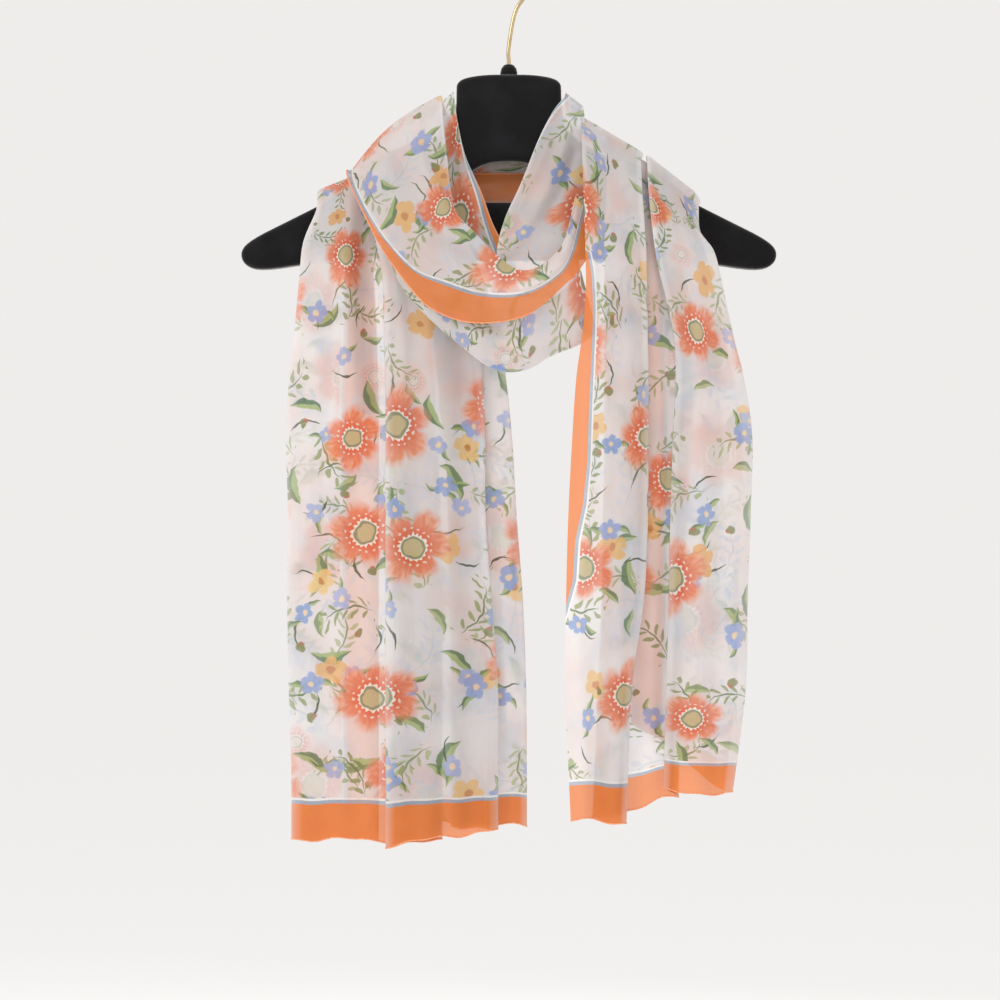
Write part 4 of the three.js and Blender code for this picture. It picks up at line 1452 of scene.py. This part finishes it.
@dataclass
class Scarf:
    """The whole scarf, in the stretches that show.

    Attributes:
        width: Width of the cut panel, in metres. Not used.
        chiffon: Its cloth.
    """

    width: float = 0.5
    chiffon: Chiffon = field(default_factory=Chiffon)

    def build(self, finishes: Finishes) -> None:
        """Build every stretch and its hem, and hide the imported parts that it stands for."""
        hems = HemTree()
        left, right, flap = LeftTail().sheet(), RightTail().sheet(), CowlFlap().sheet()
        arm, inner, under = COWL_RIGHT.sheet(), NECK_LEFT.sheet(), CowlUnder().sheet()
        plan = (
            (left, ("tail_left", "shoulder_left", "neck_back_inner"), "hung", "hanger_board"),
            (right, ("tail_right", "shoulder_right", "neck_back_right"), "hung", "hanger_board"),
            (flap, ("cowl_flap", "shoulder_cowl", "neck_back_left"), "gathered", "scarf_left_tail"),
            (arm, ("cowl_right",), "gathered", "scarf_right_tail"),
            (inner, ("neck_left_inner",), "gathered", "scarf_cowl_flap"),
            (under, ("cowl_under",), "gathered", "scarf_cowl_flap"),
        )
        for sheet, nodes, held, rests_on in plan:
            piece = sheet.build(finishes["chiffon"])
            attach(piece, "root")
            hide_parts(*nodes)
            lines = self._hem_lines(sheet)
            if lines:
                hem = hems.sew(sheet.name + "_hem", lines, finishes["hem"], finishes["thread"])
                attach(hem, "root")

    @staticmethod
    def _hem_lines(sheet: ClothSheet) -> list[np.ndarray]:
        """Return the edges of a stretch that are edges of the cloth itself."""
        grid = sheet.grid
        lines = []
        if float(sheet.end[0].max()) <= 0:
            lines.append(grid[0])
        if float(sheet.first[:, 0].max()) <= 0.5:
            lines.append(grid[:, 0])
        bare = np.flatnonzero(sheet.second[:, -1] < 0.5)
        if len(bare) > 2:
            lines.append(grid[bare[0] : bare[-1] + 1, -1])
        return lines

    @staticmethod
    def _cut(sheet: ClothSheet) -> tuple[float, float]:
        """Return the width and length of the stretch as it was cut, in metres."""
        steps = np.linalg.norm(np.diff(sheet.grid, axis=1), axis=2).sum(axis=1)
        long = np.linalg.norm(np.diff(sheet.grid, axis=0), axis=2).sum(axis=0)
        return float(np.median(steps)) * MM, float(np.median(long)) * MM


# ---------------------------------------------------------------- the hanger


def eased(loop: Sequence[Sequence[float]]) -> list[tuple[float, float]]:
    """Cut each corner of a closed loop of points a quarter of the way along its sides."""
    points = []
    for (x0, z0), (x1, z1) in zip(loop, [*loop[1:], loop[0]]):
        points.append((x0 * 0.75 + x1 * 0.25, z0 * 0.75 + z1 * 0.25))
        points.append((x0 * 0.25 + x1 * 0.75, z0 * 0.25 + z1 * 0.75))
    return points


@dataclass
class Hanger:
    """A flat flocked hanger with a wire hook, plain and unmarked.

    Attributes:
        wire: Radius of the hook's wire, in mm.
        radius: Radius of the hook, in mm.
        start: Angle at which the hook's curve starts, in degrees.
        end: Angle at which it ends.
        shank: The straight wire below, as (x, z).
    """

    wire: float = 1.6
    radius: float = 21.6
    start: float = -48.0
    end: float = 212.0
    shank: Table = ((0, -98.2), (0, -88), (0, -77), (5, -50))

    depth: float = 20.0
    bevel: float = 5.0
    side: Table = (
        (0, -98.5),
        (18, -98.5),
        (34, -101),
        (39.5, -105),
        (40, -110),
        (40, -128),
        (48, -147),
        (80, -164),
        (110, -180),
        (140, -196),
        (170, -211),
        (196, -224),
        (205, -233),
        (202, -244),
        (188, -248),
        (150, -242),
        (100, -237),
        (40, -240),
    )
    window: Table = ((-30, -196), (0, -196), (30, -196), (32, -174), (18, -166), (0, -164), (-18, -166), (-32, -174))

    def build(self, finishes: Finishes, nodes: dict[str, bpy.types.Object]) -> None:
        """Make the board and the hook and dress the collar."""
        for slot in nodes["hook_collar"].material_slots:
            slot.material = finishes["flock"]
        LOG.info("hook_collar: dressed in flock")
        pieces = (
            (self._board(finishes["flock"]), "hanger_board", "flocking"),
            (self._hook(finishes["brass"]), "hook", "brass_wire"),
        )
        for piece, node, slot_name in pieces:
            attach(piece, "root")
            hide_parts(node)

    def _board(self, material: bpy.types.Material) -> bpy.types.Object:
        """Mould the board: its outline and window with eased corners and a round edge."""
        outline = [*self.side, *((-x, z) for x, z in reversed(self.side[1:]))]
        curve = bpy.data.curves.new("hanger_board_outline", "CURVE")
        curve.dimensions = "2D"
        curve.fill_mode = "BOTH"
        curve.extrude = (self.depth / 2 - self.bevel) * MM
        curve.bevel_depth = self.bevel * MM
        curve.bevel_resolution = 5
        curve.offset = -self.bevel * MM
        for loop in (outline, list(self.window)):
            points = eased(eased(loop))
            spline = curve.splines.new("POLY")
            spline.points.add(len(points) - 1)
            spline.use_cyclic_u = True
            for point, (x, z) in zip(spline.points, points):
                point.co = (x * MM, z * MM, 0.0, 1.0)
        carrier = bpy.data.objects.new("hanger_board_outline", curve)
        bpy.context.scene.collection.objects.link(carrier)
        bpy.context.view_layer.update()
        graph = bpy.context.evaluated_depsgraph_get()
        mesh = bpy.data.meshes.new_from_object(carrier.evaluated_get(graph), depsgraph=graph)
        bpy.data.objects.remove(carrier)
        mesh.transform(mathutils.Matrix.Rotation(math.radians(90), 4, "X"))
        shape = bmesh.new()
        shape.from_mesh(mesh)
        bmesh.ops.remove_doubles(shape, verts=shape.verts, dist=1e-5)
        bmesh.ops.recalc_face_normals(shape, faces=shape.faces)
        shape.to_mesh(mesh)
        shape.free()
        mesh.polygons.foreach_set("use_smooth", [True] * len(mesh.polygons))
        mesh.set_sharp_from_angle(angle=math.radians(35))
        mesh.materials.clear()
        mesh.materials.append(material)
        piece = bpy.data.objects.new("hanger_flocked_board", mesh)
        bpy.context.scene.collection.objects.link(piece)
        LOG.info("hanger_flocked_board: %d faces", len(mesh.polygons))
        return piece

    def _hook(self, material: bpy.types.Material) -> bpy.types.Object:
        """Bend the wire along its shank and round its curve."""
        turns = 11
        knots = [np.array((x, 0.0, z)) for x, z in self.shank]
        for i in range(turns + 1):
            angle = math.radians(self.start + (self.end - self.start) * i / turns)
            x, z = self.radius * math.cos(angle), self.radius * math.sin(angle)
            knots.append(np.array((x, 0.0, -self.radius + self.wire + z)))
        path = finer([knots], 170)[0]
        sides = 20
        rings = []
        for i, point in enumerate(path):
            ahead = unit(path[min(i + 1, len(path) - 1)] - path[max(i - 1, 0)])
            side = unit(np.cross(ahead, BACK))
            shrink = 1.0
            end_gap = len(path) - 1 - i
            if end_gap < 4:
                shrink = (0.0, 0.6, 0.85, 0.96)[end_gap]
            if i == 0:
                shrink = 0.0
            for k in range(sides):
                turn = 2 * math.pi * k / sides
                rings.append(point + self.wire * shrink * (side * math.cos(turn) + BACK * math.sin(turn)))
        faces = []
        for i in range(len(path) - 1):
            for k in range(sides):
                a, b = i * sides + k, i * sides + (k + 1) % sides
                faces.append((a, b, b + sides, a + sides))
        mesh = bpy.data.meshes.new("hanger_hook")
        mesh.from_pydata((np.array(rings) * MM).tolist(), [], faces)
        shape = bmesh.new()
        shape.from_mesh(mesh)
        bmesh.ops.remove_doubles(shape, verts=shape.verts, dist=1e-6)
        bmesh.ops.recalc_face_normals(shape, faces=shape.faces)
        shape.to_mesh(mesh)
        shape.free()
        mesh.polygons.foreach_set("use_smooth", [True] * len(mesh.polygons))
        mesh.materials.append(material)
        piece = bpy.data.objects.new("hanger_hook", mesh)
        bpy.context.scene.collection.objects.link(piece)
        LOG.info("hanger_hook: %d faces", len(mesh.polygons))
        return piece


# ---------------------------------------------------------------- stage


@dataclass(frozen=True)
class Studio:
    """A pale floor, soft light from both sides and a camera at the height of the scarf."""

    camera_at: tuple[float, float, float] = (-0.00675, -2.44, -0.42275)
    lens: float = 115.0
    floor: float = -1.15
    world: str = "#efedeb"
    bounces: int = 2
    layers_through: int = 4

    def build(self) -> None:
        """Set up the camera, the world, the floor and the lights."""
        scene = bpy.context.scene
        data = bpy.data.cameras.new("camera")
        data.lens = self.lens
        data.sensor_width = 36.0
        camera = bpy.data.objects.new("camera", data)
        camera.location = self.camera_at
        camera.rotation_euler = (math.radians(90), 0, 0)
        scene.collection.objects.link(camera)
        scene.camera = camera
        scene.view_settings.view_transform = "Standard"
        scene.cycles.max_bounces = self.bounces
        scene.cycles.diffuse_bounces = self.bounces
        scene.cycles.transparent_max_bounces = self.layers_through
        world = bpy.data.worlds.new("pale room")
        world.use_nodes = True
        background = world.node_tree.nodes["Background"]
        background.inputs["Color"].default_value = linear(self.world)
        background.inputs["Strength"].default_value = 1.0
        scene.world = world
        self._floor()
        self._light("key", (-1.6, -1.3, 0.8), 0.8, 17.0)
        self._light("fill", (1.6, -1.4, 0.2), 1.4, 3.5)
        self._light("back", (0.6, 1.7, 0.3), 1.4, 8.0)

    def _floor(self) -> None:
        """Lay the floor."""
        reach = 60.0
        mesh = bpy.data.meshes.new("floor")
        corners = [(-reach, -reach, self.floor), (reach, -reach, self.floor)]
        corners += [(reach, reach, self.floor), (-reach, reach, self.floor)]
        mesh.from_pydata(corners, [], [(0, 1, 2, 3)])
        material = bpy.data.materials.new("Paper, matt, white")
        material.use_nodes = True
        shader = material.node_tree.nodes["Principled BSDF"]
        shader.inputs["Base Color"].default_value = linear("#ffffff")
        shader.inputs["Roughness"].default_value = 1.0
        shader.inputs["Specular IOR Level"].default_value = 0.0
        mesh.materials.append(material)
        floor = bpy.data.objects.new("floor", mesh)
        bpy.context.scene.collection.objects.link(floor)

    def _light(self, name: str, at: tuple[float, float, float], size: float, power: float) -> None:
        """Hang one soft light that points at the scarf."""
        data = bpy.data.lights.new(name, "AREA")
        data.size = size
        data.energy = power
        light = bpy.data.objects.new(name, data)
        light.location = at
        aim = np.array((0.0, 0.0, -0.4)) - np.array(at)
        light.rotation_euler = mathutils.Vector(aim).to_track_quat("-Z", "Y").to_euler()
        bpy.context.scene.collection.objects.link(light)


def main() -> None:
    """Build the stage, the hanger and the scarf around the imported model."""
    logging.basicConfig(level=logging.INFO, format="%(name)s: %(message)s")
    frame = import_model()
    Studio().build()
    scarf = Scarf()
    finishes = {
        "chiffon": scarf.chiffon.material(),
        "hem": SewingThread("Polyester chiffon, rolled hem, orange", "#ee8436").material(),
        "thread": SewingThread("Polyester thread, orange", "#f09a55").material(),
        "flock": Flock().material(),
        "brass": Brass().material(),
    }
    Hanger().build(finishes, frame["nodes"])
    scarf.build(finishes)


if __name__ == "__main__":
    main()
